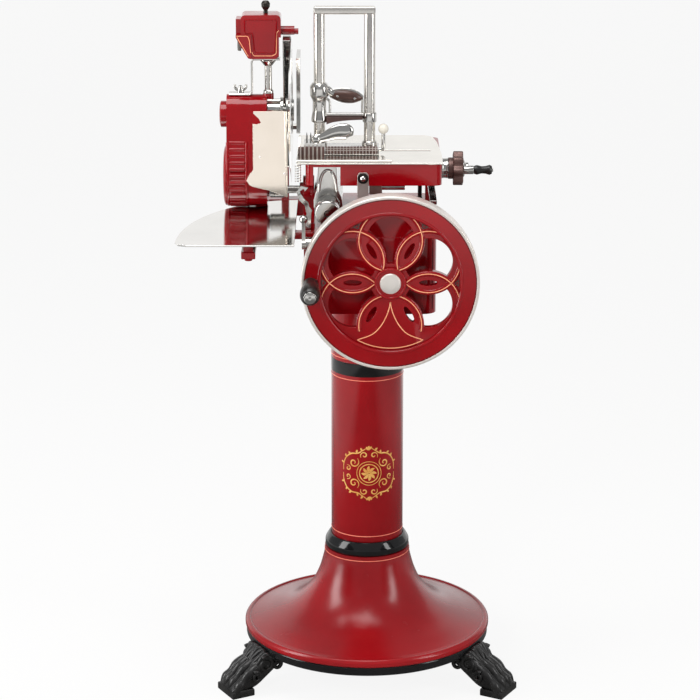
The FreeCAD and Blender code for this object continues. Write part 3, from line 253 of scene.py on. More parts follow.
def placed(name, mesh, coat, body, nodes, crease):
    """The mesh smoothed up to a crease, with its finish, joined to a body in place of the named nodes."""
    material, slot = coat
    mesh.polygons.foreach_set("use_smooth", [True] * len(mesh.polygons))
    mesh.set_sharp_from_angle(angle=math.radians(crease))
    mesh.materials.clear()
    mesh.materials.append(material)
    piece = bpy.data.objects.new(name, mesh)
    bpy.context.scene.collection.objects.link(piece)
    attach(piece, body)
    if nodes:
        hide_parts(*nodes)
    return piece


def made(name, grids, coat, body, nodes=(), crease=35.0):
    """A piece of one or more grids, its seams closed and its faces turned outwards."""
    mesh = mesh_of(name, grids)
    work = bmesh.new()
    work.from_mesh(mesh)
    bmesh.ops.remove_doubles(work, verts=work.verts, dist=2e-6)
    bmesh.ops.dissolve_degenerate(work, edges=work.edges, dist=1e-7)
    bmesh.ops.recalc_face_normals(work, faces=work.faces)
    work.to_mesh(mesh)
    work.free()
    return placed(name, mesh, coat, body, nodes, crease)


def in_row(points):
    """Millimetres from the column's axis as metres in the row frame."""
    return (np.asarray(points, float) + COLUMN_AXIS) / 1000.0


def mesh_of(name, grids):
    """One mesh of several grids of points; each comes with its two wraps, and open ends get a cap."""
    points = []
    faces = []
    start = 0
    for grid, wrap_rows, wrap_columns in grids:
        rows, columns = grid.shape[:2]
        points.append(in_row(grid).reshape(-1, 3))
        quads = quads_over(rows, columns, wrap_rows, wrap_columns)
        faces += [[start + corner for corner in quad] for quad in quads]
        if wrap_columns and not wrap_rows:
            faces.append(list(range(start, start + columns)))
            faces.append(list(range(start + (rows - 1) * columns, start + rows * columns)))
        start += rows * columns
    mesh = bpy.data.meshes.new(name)
    mesh.from_pydata(np.concatenate(points).tolist(), [], faces)
    return mesh


def flowing(points, count):
    """A smooth line through the given points: cubic pieces with each slope taken from the neighbours."""
    points = np.asarray(points, float)
    padded = np.concatenate([[2 * points[0] - points[1]], points, [2 * points[-1] - points[-2]]])
    spot = np.linspace(0, len(points) - 1, count)
    index = np.minimum(spot.astype(int), len(points) - 2)
    u = (spot - index)[:, None]
    a, b, c, d = (padded[index + shift] for shift in range(4))
    square, cube = 2 * a - 5 * b + 4 * c - d, 3 * b - a - 3 * c + d
    return 0.5 * (2 * b + (c - a) * u + square * u ** 2 + cube * u ** 3)


def ways_along(path, up, closed):
    """Unit steps along a path, and the unit ways across it that stand square to up."""
    if closed:
        along = np.roll(path, -1, 0) - np.roll(path, 1, 0)
    else:
        along = np.gradient(path, axis=0)
    along /= np.linalg.norm(along, axis=1, keepdims=True)
    across = np.cross(along, up)
    return along, across / np.linalg.norm(across, axis=1, keepdims=True)


def tube(path, radius, sides=12, squash=1.0, up=(0, 1, 0), closed=False):
    """A grid round a path: at each point, centre + radius (cos a across + squash sin a upright)."""
    path = np.asarray(path, float)
    radius = np.broadcast_to(np.asarray(radius, float), (len(path),))
    along, across = ways_along(path, up, closed)
    upright = np.cross(across, along)
    turn = np.linspace(0, 2 * math.pi, sides, endpoint=False)
    flat, raised = np.cos(turn)[None, :, None], squash * np.sin(turn)[None, :, None]
    ring = flat * across[:, None] + raised * upright[:, None]
    return path[:, None] + radius[:, None, None] * ring, closed, True


def curled(centre, radius, angle):
    """Flat points at centre + radius (cos angle, sin angle); a coil where the radius shrinks."""
    return np.column_stack([centre[0] + radius * np.cos(angle), centre[1] + radius * np.sin(angle)])


def at_depth(flat, y):
    """Flat points (x, z) as places that share one y."""
    return np.column_stack([flat[:, 0], np.full(len(flat), y), flat[:, 1]])


def turned_about(grids, bearing):
    """The same grids turned about the column's axis; local X points along the bearing."""
    c, s = math.cos(math.radians(bearing)), math.sin(math.radians(bearing))
    spin = np.array([[c, -s, 0], [s, c, 0], [0, 0, 1]])
    return [(grid @ spin.T, rows, columns) for grid, rows, columns in grids]


def paw():
    """Grids of one paw. The leg's section at reach r is a superellipse between z_low(r) and z_high(r)."""
    spine = flowing([(206, 36, 62, 80), (226, 38, 58, 80), (248, 41, 42, 80), (265, 43, 27, 92),
                     (282, 41, 14, 78), (299, 38, 8, 60), (318, 36, 6, 43), (333, 34, 5, 30),
                     (341, 30, 6, 18)], 44)
    turn = np.linspace(0, 2 * math.pi, 36, endpoint=False)
    lift = np.sign(np.sin(turn)) * np.abs(np.sin(turn)) ** 0.75
    side = np.sign(np.cos(turn)) * np.abs(np.cos(turn)) ** 0.75
    reach, half, low, high = (spine[:, k][:, None] for k in range(4))
    hollow = 1 - 0.12 * np.exp(-((lift[None] + 0.2) / 0.45) ** 2)
    leg = np.stack(np.broadcast_arrays(reach, half * side * hollow,
                                       (low + high) / 2 + (high - low) / 2 * lift), -1)
    grids = [(leg, False, True)]
    sole = np.array([(292, -36), (292, 36), (343, 36), (343, -36)], float)
    levels = [(0.97, 0.0), (1.0, 1.5), (1.0, 13.0), (0.97, 15.5)]
    middle = sole.mean(0)
    rows = [np.column_stack([middle + (sole - middle) * scale, np.full(len(sole), z)])
            for scale, z in levels]
    grids.append((np.stack(rows), False, True))
    for place in (-28.0, -9.5, 9.5, 28.0):
        lean = 1 + 0.1 * np.linspace(0, 1, 26)
        toe = flowing([(280, 70), (293, 61), (305, 52), (317, 41), (327, 31), (334, 21), (336, 13)], 26)
        knuckle = flowing([(7.0,), (10.2,), (11.4,), (8.6,), (11.0,), (8.0,), (5.4,)], 26)[:, 0]
        path = np.column_stack([toe[:, 0] - 0.004 * place ** 2, place * lean,
                                toe[:, 1] - 0.006 * place ** 2])
        grids.append(tube(path, knuckle, up=(0, 0, 1)))
        claw = flowing([(330, 26), (337, 22), (341, 14), (342, 5)], 10)
        path = at_depth(claw - (0.004 * place ** 2, 0), place * 1.1)
        grids.append(tube(path, np.linspace(4.6, 0.6, 10), 8))
    share = np.linspace(0, 1, 30)
    for index, place in enumerate(np.linspace(-34, 34, 9)):
        lock = flowing([(290, 70), (280, 80), (268, 90), (262, 91), (256, 84), (236, 78)], 30)
        wave = 3.0 * np.sin(share * 7 + index * 1.7)
        path = np.column_stack([lock[:, 0], place * (0.75 + 0.5 * share) + wave,
                                lock[:, 1] - 0.012 * place ** 2 * (1 - share)])
        grids.append(tube(path, 5.6 * np.sin(math.pi * (0.12 + 0.8 * share)) + 0.8, 8, up=(0, 0, 1)))
    for side in (-1, 1):
        for centre, size, turns in (((266, 66), 17.0, 1.7), ((288, 42), 12.0, 1.5), ((240, 62), 12.0, 1.3)):
            angle = np.linspace(0, 2 * math.pi * turns, 40)
            path = at_depth(curled(centre, size * (1 - 0.75 * share_of(angle)), angle + 1.0), side * 39.0)
            grids.append(tube(path, 5.0 - 2.2 * share_of(angle), 10))
    return grids


def share_of(values):
    """How far along a line each value stands, from 0 to 1."""
    return (values - values[0]) / (values[-1] - values[0])


cast_black = finish("cast_black_enamel", "black_enamel", (34, 33, 32), (16, 15, 15), 0.0, (0.3, 0.5), 26,
                    420, 0.35, coat=0.25)
foot_bearings = (-151, -29, 90)
paws = [grid for bearing in foot_bearings for grid in turned_about(paw(), bearing)]
made("lion_paws", paws, cast_black, "stand", ["feet"], crease=50)


# ---- Foot casting: a thin trumpet of grey iron, turned on its rim and enamelled deep red, standing on a
# ---- black ring. A black collar finishes its neck.

def softened(corners, size, closed=True, steps=4):
    """The outline with each corner cut back by size and rounded by a parabola through the cut points."""
    corners = np.asarray(corners, float)
    before = np.roll(corners, 1, 0)
    after = np.roll(corners, -1, 0)
    size = np.broadcast_to(np.asarray(size, float), (len(corners),))[:, None]
    back = before - corners
    ahead = after - corners
    long_back = np.linalg.norm(back, axis=1, keepdims=True)
    long_ahead = np.linalg.norm(ahead, axis=1, keepdims=True)
    cut = np.minimum(size, np.minimum(long_back, long_ahead) * 0.49)
    if not closed:
        cut[0] = 0
        cut[-1] = 0
    start = corners + back / long_back * cut
    end = corners + ahead / long_ahead * cut
    u = np.linspace(0, 1, steps + 1)[None, :, None]
    arcs = (1 - u) ** 2 * start[:, None] + 2 * u * (1 - u) * corners[:, None] + u ** 2 * end[:, None]
    line = arcs.reshape(-1, corners.shape[1])
    return line if closed else line[steps:-steps]


def lathe(profile, centre=(0, 0, 0), axis="z", steps=96):
    """A closed (radius, height) outline carried round an axis through a centre: heights run along it."""
    profile = np.asarray(profile, float)
    turn = np.linspace(0, 2 * math.pi, steps, endpoint=False)
    radius, height = profile[:, 0][:, None], profile[:, 1][:, None]
    c, s, h = np.broadcast_arrays(radius * np.cos(turn), radius * np.sin(turn), height)
    order = {"z": (c, s, h), "x": (h, c, s), "y": (s, h, c)}[axis]
    return np.stack(order, -1) + np.asarray(centre, float), True, True


def turned(corners, soft, centre=(0, 0, 0), axis="z", steps=96):
    """A piece turned on the lathe from an outline whose corners are softened."""
    return lathe(softened(corners, soft), centre, axis, steps)


red_enamel = finish("deep_red_enamel", "red_enamel", (150, 6, 16), (122, 3, 10), 0.0, (0.14, 0.28), 5, 900,
                    0.05, coat=0.8)
black_enamel = finish("gloss_black_enamel", "black_enamel", (26, 26, 27), (12, 12, 13), 0.0, (0.12, 0.26),
                      6, 700, 0.05, coat=0.7)
cream_paint = finish("cream_line_paint", "red_enamel", (255, 184, 140), (246, 158, 112), 0.0, (0.3, 0.45),
                     30, 1200, 0.15, coat=0.2)
coral_paint = finish("coral_line_paint", "red_enamel", (246, 140, 116), (232, 118, 96), 0.0, (0.3, 0.45),
                     30, 1200, 0.15, coat=0.2)
gold_paint = finish("gold_leaf_paint", "red_enamel", (246, 200, 112), (224, 160, 74), 0.25, (0.28, 0.45),
                    40, 1500, 0.2, coat=0.3)
foot_enamel = finish("soft_red_enamel", "red_enamel", (158, 8, 18), (128, 4, 12), 0.0, (0.16, 0.3), 5, 900,
                     0.05, coat=0.8)
foot_enamel[0].node_tree.nodes["Principled BSDF"].inputs["Coat Roughness"].default_value = 0.24
flare = flowing([(249, 115.5), (240, 117.5), (215, 125), (175, 140), (145, 160), (118, 190), (103, 220),
                 (94, 250), (90.3, 268), (90, 279)], 60)
inside = flowing([(82, 264), (87, 248), (96, 218), (110, 186), (138, 154), (168, 134), (208, 119),
                  (240, 108)], 50)
lip = softened([(246, 100), (260, 100), (262.5, 103), (262.5, 111), (258, 116.5), (252.5, 117),
                (250.5, 115)], 2.2, closed=False)
trumpet = np.concatenate([[(9, 279), (9, 264)], inside, lip, flare])
made("foot_casting", [lathe(trumpet, steps=160)], foot_enamel, "stand", ["pedestal_base"], crease=50)
skirt = [(196, 81), (257, 81), (260, 84), (260, 98), (258.5, 100), (196, 100)]
made("skirt", [turned(skirt, 1.5, steps=160)], black_enamel, "stand", ["skirt_ring"])
collar = [(76, 279), (87.5, 279), (89, 283), (89, 293), (84, 302), (80, 308), (76, 308)]
made("collar", [turned(collar, 3.0, steps=128)], black_enamel, "stand", ["collar_ring"], crease=50)


# ---- Column: a drawn steel tube enamelled red, held down by the tie rod. It carries a black band between
# ---- coral lines, and a hand-painted gold ornament of leaves round a flower.

COLUMN_RADIUS = 76.0


def band_round(radius, low, high, proud):
    """A band of paint lying on a cylinder."""
    inner, outer = radius - 0.3, radius + proud
    return turned([(inner, low), (outer, low), (outer, high), (inner, high)], 0.2, steps=128)


column = [(71, 279), (COLUMN_RADIUS, 279), (COLUMN_RADIUS, 828), (71, 828)]
made("column_tube", [turned(column, 1.0, steps=128)], red_enamel, "stand", ["pedestal_column"])
made("black_band", [band_round(COLUMN_RADIUS, 673, 701, 0.3)], black_enamel, "stand")
line_spots = ((COLUMN_RADIUS, 321), (COLUMN_RADIUS, 665), (COLUMN_RADIUS, 709), (90.6, 270.5))
lines = [band_round(radius, middle - 0.9, middle + 0.9, 0.45) for radius, middle in line_spots]
made("column_lines", lines, coral_paint, "stand")


def ribbon(path, width, upward, height=0.35, closed=False):
    """A low ridge of paint: four corners across each point of the path, lifted along the normal upward."""
    path, upward = np.asarray(path, float), np.asarray(upward, float)
    across = ways_along(path, upward, closed)[1]
    half = np.broadcast_to(np.asarray(width, float), (len(path),))[:, None] / 2
    corners = [path - across * half - upward * 0.25, path - across * half * 0.7 + upward * height,
               path + across * half * 0.7 + upward * height, path + across * half - upward * 0.25]
    return np.stack(corners, 1), closed, True


def round_column(flat):
    """Points (arc, height) wrapped on the front of the column, and the surface normals there."""
    flat = np.asarray(flat, float)
    turn = flat[:, 0] / COLUMN_RADIUS
    normal = np.column_stack([np.sin(turn), -np.cos(turn), np.zeros(len(flat))])
    return np.column_stack([normal[:, :2] * COLUMN_RADIUS, flat[:, 1]]), normal


ORNAMENT = np.array([3.5, 462.4])


def brush_stroke(points, wide, count=40):
    """A painted stroke on the column: a smooth line, thick in its middle and thin at its ends."""
    path, normal = round_column(flowing(points, count) + ORNAMENT)
    return ribbon(path, 0.9 + 1.5 * wide * np.sin(np.linspace(0.15, math.pi - 0.15, count)), normal, 0.3)


def leaf(centre, bearing, length, wide):
    """A painted leaf: one short stroke whose middle is wide."""
    way = np.array([math.cos(math.radians(bearing)), math.sin(math.radians(bearing))])
    start = np.asarray(centre, float)
    side = np.array([-way[1], way[0]])
    return brush_stroke([start, start + way * length * 0.5 + side * length * 0.12, start + way * length],
                        wide, 16)


ornament = []
for bearing in range(0, 360, 45):
    ornament.append(leaf(curled((0, 0), 3, np.radians([bearing]))[0], bearing, 13, 4))
circle = np.linspace(0, 2 * math.pi, 64, endpoint=False)
for radius, wide in ((26.0, 1.6), (20.0, 2.4), (2.2, 2.4)):
    path, normal = round_column(curled(ORNAMENT, radius, circle))
    ornament.append(ribbon(path, wide, normal, 0.3, closed=True))
for flip_x in (-1, 1):
    for flip_z in (-1, 1):
        curl = np.linspace(0, 2.6 * math.pi, 14)
        coil = 13.0 * np.exp(-curl * 0.19)
        ornament.append(brush_stroke(curled((33, 23), coil, curl + 2.3) * (flip_x, flip_z), 1.7, 60))
        vine = [(4, 57), (14, 50), (24, 44), (38, 42), (50, 33), (57, 18), (58, 3)]
        ornament.append(brush_stroke(np.array(vine) * (flip_x, flip_z), 1.6, 60))
        for spot, bearing in (((14, 50), 60), ((26, 44), 100), ((39, 41), 40), ((50, 33), 75),
                              ((56, 20), 20)):
            turn = math.degrees(math.atan2(math.sin(math.radians(bearing)) * flip_z,
                                           math.cos(math.radians(bearing)) * flip_x))
            ornament.append(leaf(np.array(spot, float) * (flip_x, flip_z), turn, 7, 2.6))
        curl = np.linspace(0, 2.2 * math.pi, 12)
        coil = 9.0 * np.exp(-curl * 0.2)
        ornament.append(brush_stroke(curled((10, 40), coil, curl - 0.6) * (flip_x, flip_z), 1.5, 48))
        ornament.append(brush_stroke(curled((46, 9), coil * 0.8, curl + 1.2) * (flip_x, flip_z), 1.4, 48))
for flip_z in (-1, 1):
    for bearing in (50, 90, 130):
        ornament.append(leaf((0, 52 * flip_z), bearing * flip_z, 9, 3))
made("gold_ornament", ornament, gold_paint, "stand", crease=60)


# ---- Column top: a red iron flange on the column, to which four steel bolts hold the machine. A steel tie
# ---- rod runs down inside the column to its foot.

def refined(node, name, coat, body, width, segments=2, crease=32.0, rounded=()):
    """A copy of a solid with its doubles merged, its flat faces whole and its edges rounded by a bevel.

    rounded lists (x, z, radius) of edges along Y that are rounded more than the others.
    """
    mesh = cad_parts[node].data.copy()
    mesh.name = name
    work = bmesh.new()
    work.from_mesh(mesh)
    bmesh.ops.remove_doubles(work, verts=work.verts, dist=2e-6)
    bmesh.ops.dissolve_limit(work, angle_limit=math.radians(0.6), verts=work.verts, edges=work.edges)
    for x, z, radius in rounded:
        x, z = (x + COLUMN_AXIS[0]) / 1000.0, z / 1000.0
        chosen = [edge for edge in work.edges
                  if all(math.hypot(end.co.x - x, end.co.z - z) < 3e-4 for end in edge.verts)]
        bmesh.ops.bevel(work, geom=chosen, offset=radius / 1000.0, segments=6, profile=0.5, affect="EDGES")
    work.to_mesh(mesh)
    work.free()
    piece = placed(name, mesh, coat, body, [node], crease)
    if width:
        bevel = piece.modifiers.new("edges", "BEVEL")
        bevel.width = width / 1000.0
        bevel.segments = segments
        bevel.limit_method = "ANGLE"
        bevel.angle_limit = math.radians(crease)
        bevel.harden_normals = True
        bevel.use_clamp_overlap = True


polished_nickel = finish("polished_nickel", "polished_nickel", (222, 220, 216), (196, 194, 190), 1.0,
                         (0.07, 0.2), 12, 1400, 0.06)
machined_steel = finish("machined_steel", "machined_steel", (176, 175, 172), (140, 139, 137), 1.0,
                        (0.22, 0.42), 20, 1600, 0.2, stretch=(1.0, 1.0, 6.0))
dark_steel = finish("oiled_dark_steel", "dark_steel", (72, 68, 64), (38, 36, 35), 0.9, (0.25, 0.45), 22,
                    900, 0.2)
refined("stand_top", "column_flange", red_enamel, "stand", 1.5)
refined("tie_rod", "tie_bolt", machined_steel, "stand", 0.8)
refined("flange_bolts", "bolts_of_flange", machined_steel, "stand", 0.8)


# ---- Machine base: one hollow iron casting, enamelled red, with a boss for the wheel shaft, four pillars
# ---- under the rails and a plate over the hatch behind.

refined("machine_base", "base_casting", red_enamel, "stand", 3.0, 3)
refined("rear_cover", "hatch_plate", red_enamel, "stand", 1.2)
refined("main_rail", "slide_rail", polished_nickel, "stand", 1.0)
refined("side_rail", "side_rail_bar", polished_nickel, "stand", 0.8)


# ---- Drive: cut steel gears on steel shafts, a chain, and bushes of bronze. They run inside the machine
# ---- base, the iron gear cover and the chain case.

bronze = finish("bearing_bronze", "bronze", (186, 138, 76), (140, 96, 50), 1.0, (0.2, 0.4), 30, 900, 0.15)
drive_parts = [
    ("gear_plate", "gear_carrier", red_enamel, "stand", 1.0),
    ("gear_cover", "gear_housing", red_enamel, "stand", 2.0),
    ("shaft_bushes", "bronze_bushes", bronze, "stand", 0.4),
    ("drive_chain", "chain_of_links", dark_steel, "stand", 0.5),
    ("flywheel_shaft", "wheel_shaft", machined_steel, "flywheel_set", 0.5),
    ("flywheel_bevel", "wheel_bevel_gear", machined_steel, "flywheel_set", 0),
    ("cross_shaft", "cross_shaft_crank", machined_steel, "cross_shaft_set", 0.5),
    ("cross_bevel", "cross_bevel_gear", machined_steel, "cross_shaft_set", 0),
    ("train_gear", "first_gear", machined_steel, "cross_shaft_set", 0),
    ("idler_gear", "middle_gear", machined_steel, "idler", 0),
    ("drive_shaft", "upper_shaft", machined_steel, "drive_shaft_set", 0),
    ("blade_spindle", "knife_spindle", machined_steel, "blade_set", 0.4),
    ("rocker_arm", "slotted_rocker", dark_steel, "rocker", 1.0),
]
for drive_part in drive_parts:
    refined(*drive_part)


# ---- Flywheel: one iron casting, enamelled red, with a bright steel tyre shrunk on. Its web has five
# ---- openings between six petals, a solid fan at the bottom, and cream lines painted on the crests.

WHEEL_CENTRE = np.array([43.6, -262.0, 924.0])


def on_wheel(flat, lift):
    """Points (x, y) of the wheel's face as places; lift is measured back from the rim's front face."""
    return at_depth(flat, lift) + WHEEL_CENTRE


def round_spot(turn, radius):
    """Places (x, y) at turns in degrees on a circle about the wheel's axis."""
    return curled((0, 0), radius, np.radians(np.asarray(turn, float)))


refined("flywheel", "wheel_casting", red_enamel, "flywheel_set", 2.2, 3, crease=40.0)
bright_satin = finish("bright_satin_nickel", "polished_nickel", (244, 238, 232), (226, 218, 210), 0.55,
                      (0.3, 0.42), 10, 1400, 0.06)
browned_steel = finish("browned_steel", "dark_steel", (128, 100, 94), (92, 70, 66), 0.6, (0.34, 0.5), 24,
                       900, 0.2)
tyre = [(171.6, -0.4), (173, -0.9), (176, -0.9), (177.4, 0.4), (177.4, 33.8), (176, 34.6), (171.6, 34.6)]
made("wheel_tyre", [turned(tyre, 0.5, WHEEL_CENTRE, "y", 180)], bright_satin, "flywheel_set")
inner_bead = [(138.6, 4), (138.6, 0.6), (140.5, -1.0), (144, -1.0), (145.6, 0.5), (145.6, 3)]
hub_bead = [(27, 3), (27, 1.2), (28.5, 0.0), (31, 0.0), (32, 1.5), (32, 6)]
beads = [turned(inner_bead, 0.9, WHEEL_CENTRE, "y", 180), turned(hub_bead, 0.6, WHEEL_CENTRE, "y", 180)]
made("wheel_beads", beads, red_enamel, "flywheel_set", crease=45)


def ring_line(radius, wide, lift):
    """A closed painted circle on the wheel's face."""
    path = on_wheel(round_spot(np.arange(0, 360, 2), radius), lift)
    return ribbon(path, wide, (0, -1, 0), closed=True)


OPENING_REACH = 87.0
OPENING_RADIUS = 62.6


def petal_arc(centre_turn, low, high, count=70):
    """Part of the circle round an opening, between two bearings from the line to the wheel's axis."""
    angle = np.radians(centre_turn + np.linspace(low, high, count))
    return curled(round_spot([centre_turn], OPENING_REACH)[0], OPENING_RADIUS, angle)


crests = []
creams = []
bare_sides = ((210, 1), (330, -1))
for turn, sign in [(turn, sign) for turn in range(30, 360, 60) for sign in (-1, 1)]:
    if (turn, sign) not in bare_sides:
        arc = petal_arc(turn, sign * (79 if turn == 270 else 37), sign * 164)
        crests.append(tube(on_wheel(arc, 8.2), 5.2, 12, 0.55))
        creams.append(ribbon(on_wheel(arc, 5.6), 2.1, (0, -1, 0)))
bell_side = flowing([(0, -39), (2.0, -51), (8, -69), (19, -89), (36, -106), (65.5, -117.5)], 50)
foot_arc = round_spot(np.linspace(-60.8, -119.2, 40), 134.6)
bell = np.concatenate([bell_side, foot_arc[1:-1], (bell_side * (-1, 1))[::-1]])
creams.append(ribbon(on_wheel(bell, 7.9), 2.1, (0, -1, 0)))
made("petal_crests", crests, red_enamel, "flywheel_set", crease=60)
made("wheel_lines", creams, cream_paint, "flywheel_set", crease=60)
# Small rings of dark browned steel on the web near the rim, between the petals' tips: painted shade of
# three-cornered recesses, which are not modelled.
painted_tip_shade = []
for turn in (0, 60, 120, 180):
    corners = softened(round_spot([turn, turn + 2.6, turn - 2.6], [127.5, 135.5, 135.5]), 1.5)
    painted_tip_shade.append(tube(on_wheel(corners, 7.6), 1.1, 8, closed=True))
made("painted_tip_shade", painted_tip_shade, (browned_steel[0], "red_enamel"), "flywheel_set")
made("wheel_black_line", [ring_line(170.2, 1.2, 0.1)], black_enamel, "flywheel_set")
cap = turned([(0, 3), (21, 3), (21, 1), (19.5, -1.2), (12, -3.4), (0, -4.2)], 1.0, WHEEL_CENTRE, "y", 72)
made("hub_button", [cap], bright_satin, "flywheel_set", ["hub_cap"], crease=50)


# ---- Crank: a nickel-plated steel stud screwed into the wheel's rim. A turned black grip spins on it, and
# ---- a nut on its end holds the grip.

black_grip = finish("turned_black_grip", "black_grip", (30, 27, 25), (14, 12, 11), 0.0, (0.32, 0.48), 30,
                    800, 0.12, coat=0.15)
STUD_ROOT = WHEEL_CENTRE + (-158.0, 0.0, 0.0)
stud = [(0, 20), (7, 20), (7, 0), (9.5, 0), (9.5, -2.4), (6, -2.4), (6, -104), (11.5, -104), (12, -105.5),
        (12, -107.5), (10, -108.6), (3.5, -109.2), (0, -109)]
made("grip_stud", [turned(stud, 0.6, STUD_ROOT, "y", 48)], polished_nickel, "flywheel_set", ["crank_pin"])
waist = flowing([(13, 3.2), (15.5, 8), (14.3, 20), (16.6, 40), (19.3, 62), (20, 76), (19.6, 88), (17.4, 97),
                 (13.2, 103.3)], 50) * (1, -1)
grip = np.concatenate([[(6.05, -3.2)], waist, [(6.05, -103.3)]])
made("wheel_grip", [lathe(grip, STUD_ROOT, "y", 64)], black_grip, "grip", ["crank_grip"], crease=50)


# ---- Knife side: the chain case, its fluted cover and the arm behind it are iron castings, enamelled red.
# ---- The round knife and the deflector are polished steel. The knife's guard, the gauge plate and the
# ---- sleeves of the spindle are nickel-plated.

mirror_steel = finish("mirror_steel", "mirror_steel", (244, 242, 238), (232, 230, 226), 1.0, (0.03, 0.12),
                      8, 1200, 0.04)
warm_steel = finish("warm_mirror_steel", "mirror_steel", (252, 241, 228), (246, 234, 219), 1.0,
                    (0.05, 0.14), 8, 1200, 0.04)
refined("chain_case", "case_body", red_enamel, "stand", 1.0)
refined("case_cover", "case_cover_fluted", red_enamel, "stand", 1.2)


DRUM_RADIUS = 61.0
DRUM_LEVEL = 1084.0
NECK_HALF = 33.0
KNIFE_LEVEL = 1222.0
FLUTES_FROM = 1164.0


def case_front(step):
    """Places (y, z) down the front of the case and round its drum, a step apart, and the outward ways."""
    lean = math.asin((DRUM_RADIUS - NECK_HALF) / (KNIFE_LEVEL - DRUM_LEVEL))
    start = np.array([-DRUM_RADIUS * math.cos(lean), DRUM_LEVEL + DRUM_RADIUS * math.sin(lean)])
    way = np.array([math.sin(lean), math.cos(lean)])
    straight = start + way * np.arange(0, (FLUTES_FROM - start[1]) / way[1], step)[::-1, None]
    turn = math.pi - lean + np.arange(1, int(1.75 * DRUM_RADIUS / step) + 1) * step / DRUM_RADIUS
    drum = np.column_stack([DRUM_RADIUS * np.cos(turn), DRUM_LEVEL + DRUM_RADIUS * np.sin(turn)])
    outward = np.concatenate([np.tile([-math.cos(lean), math.sin(lean)], (len(straight), 1)),
                              np.column_stack([np.cos(turn), np.sin(turn)])])
    return np.concatenate([straight, drum]), outward


spots, outward = case_front(13.6)
flutes = []
ridge = [(0, -282.5), (4.2, -282.5), (4.2, -250.5), (0, -250.5)]
rim_path, rim_out = case_front(3.0)
middle = rim_path - rim_out * 3.1
for side in (1, -1):
    for (y, z), (out_y, out_z) in zip(spots, outward):
        flutes.append(turned(ridge, 1.4, (0, side * (y - out_y * 3.0), z - out_z * 3.0), "x", 28))
    for x in (-285.2, -246.4):
        rim = np.column_stack([np.full(len(middle), x), side * middle[:, 0], middle[:, 1]])
        flutes.append(tube(rim, 4.2, up=(1, 0, 0)))
made("drum_flutes", flutes, red_enamel, "stand")
crown = flowing([(27, -296), (26, -300.2), (20, -302.6), (10, -303.6), (0, -304)], 16)
dome = np.concatenate([[(0, -296)], crown])
made("medallion", [lathe(dome, (0, 0, 1214), "x", 72)], red_enamel, "stand")
flange = [(0, -287.6), (61.5, -287.6), (62.5, -290.5), (59, -294), (52, -295.6), (0, -296.4)]
made("drum_flange", [turned(flange, 2.0, (0, 0, 1086), "x", 120)], red_enamel, "stand")
KNIFE_AXIS = (0, 0, KNIFE_LEVEL)
sleeves = [turned([(16.8, -205.6), (19.4, -205.6), (19.4, -179), (16.8, -179)], 1.0, KNIFE_AXIS, "x"),
           turned([(16.8, -178.8), (27, -178.8), (27, -172.8), (25, -172.8)], 0.8, KNIFE_AXIS, "x"),
           turned([(0, -206.4), (5.2, -206.4), (5.2, -173.2), (0, -173.2)], 1.2, (0, -9, 1242), "x", 48)]
made("nose_sleeves", sleeves, polished_nickel, "stand")
refined("case_arm", "case_carrier", red_enamel, "stand", 2.5)
refined("blade", "round_knife", mirror_steel, "blade_set", 0)
refined("blade_guard", "knife_guard", polished_nickel, "stand", 0.5)
refined("gauge_plate", "gauge", polished_nickel, "gauge", 0.6)
refined("slice_deflector", "deflector_plate", warm_steel, "deflector", 0.3)
fold = np.linspace((-166, -88, 1235), (-166, -88, 1066), 30)
deflector_fold = tube(fold, np.linspace(2.6, 0.8, 30), 12, 0.6)
made("deflector_fold", [deflector_fold], warm_steel, "deflector")
rivets = [turned([(0, -87), (2.8, -87), (2.8, -88.4), (1.8, -89.1), (0, -89.3)], 0.4, (x, 0, z), "y", 24)
          for x, z in ((-218.6, 1142.8), (-168.7, 1108.7))]
made("deflector_rivets", rivets, bright_satin, "deflector")


# ---- Sharpener: a red iron box on a turned, nickel-plated post over the knife, steadied by a bent strip
# ---- that a wing nut clamps. Two round stones stand in it, moved by a dark knob.

abrasive = finish("grey_abrasive", "abrasive", (132, 128, 122), (98, 94, 90), 0.0, (0.8, 0.95), 60, 1800,
                  0.9)
POST_X = -203.0
NUT_X = -260.0
strip_line = softened([(-283, 1256.5), (-236, 1256.5), (-236, 1328.6), (-178, 1328.6)], 7, closed=False,
                      steps=8)
strip_way = np.gradient(strip_line, axis=0)
strip_way /= np.linalg.norm(strip_way, axis=1, keepdims=True)
strip_side = strip_way[:, ::-1] * (-1, 1)
edge = np.array([(-1.9, -13.0), (-0.9, -14.0), (0.9, -14.0), (1.9, -13.0), (1.9, 13.0), (0.9, 14.0),
                 (-0.9, 14.0), (-1.9, 13.0)])
flat = strip_line[:, None] + strip_side[:, None] * edge[None, :, :1]
strip = np.stack([flat[:, :, 0], np.broadcast_to(edge[:, 1], flat.shape[:2]), flat[:, :, 1]], -1)
post = turned([(0, 1241), (7.5, 1241), (7.5, 1314), (9.4, 1315), (17.5, 1325.4), (17.5, 1326.8),
               (7.5, 1327), (7.5, 1401), (0, 1401)], 0.5, (POST_X, 0, 0), "z", 64)
turned_foot = turned([(7.4, 1257.4), (10.4, 1257.4), (10.4, 1262), (8.4, 1265), (7.4, 1265)], 0.8,
                     (POST_X, 0, 0), "z", 64)
nut = turned([(0, 1258.2), (7, 1258.2), (6, 1263), (4.4, 1268), (4.4, 1272), (0, 1274)], 0.8,
             (NUT_X, 0, 0), "z", 48)
wings = []
for side in (-1, 1):
    wing = flowing([(NUT_X + side * 3, 0, 1263), (NUT_X + side * 8, 0, 1265.5),
                    (NUT_X + side * 11.5, 0, 1270), (NUT_X + side * 11.0, 0, 1275)], 20)
    wings.append(tube(wing, np.linspace(3.4, 2.6, 20), 16, 1.3))
made("post_and_stay", [(strip, False, True), post, turned_foot, nut] + wings, polished_nickel, "stand",
     ["sharpener_post"])
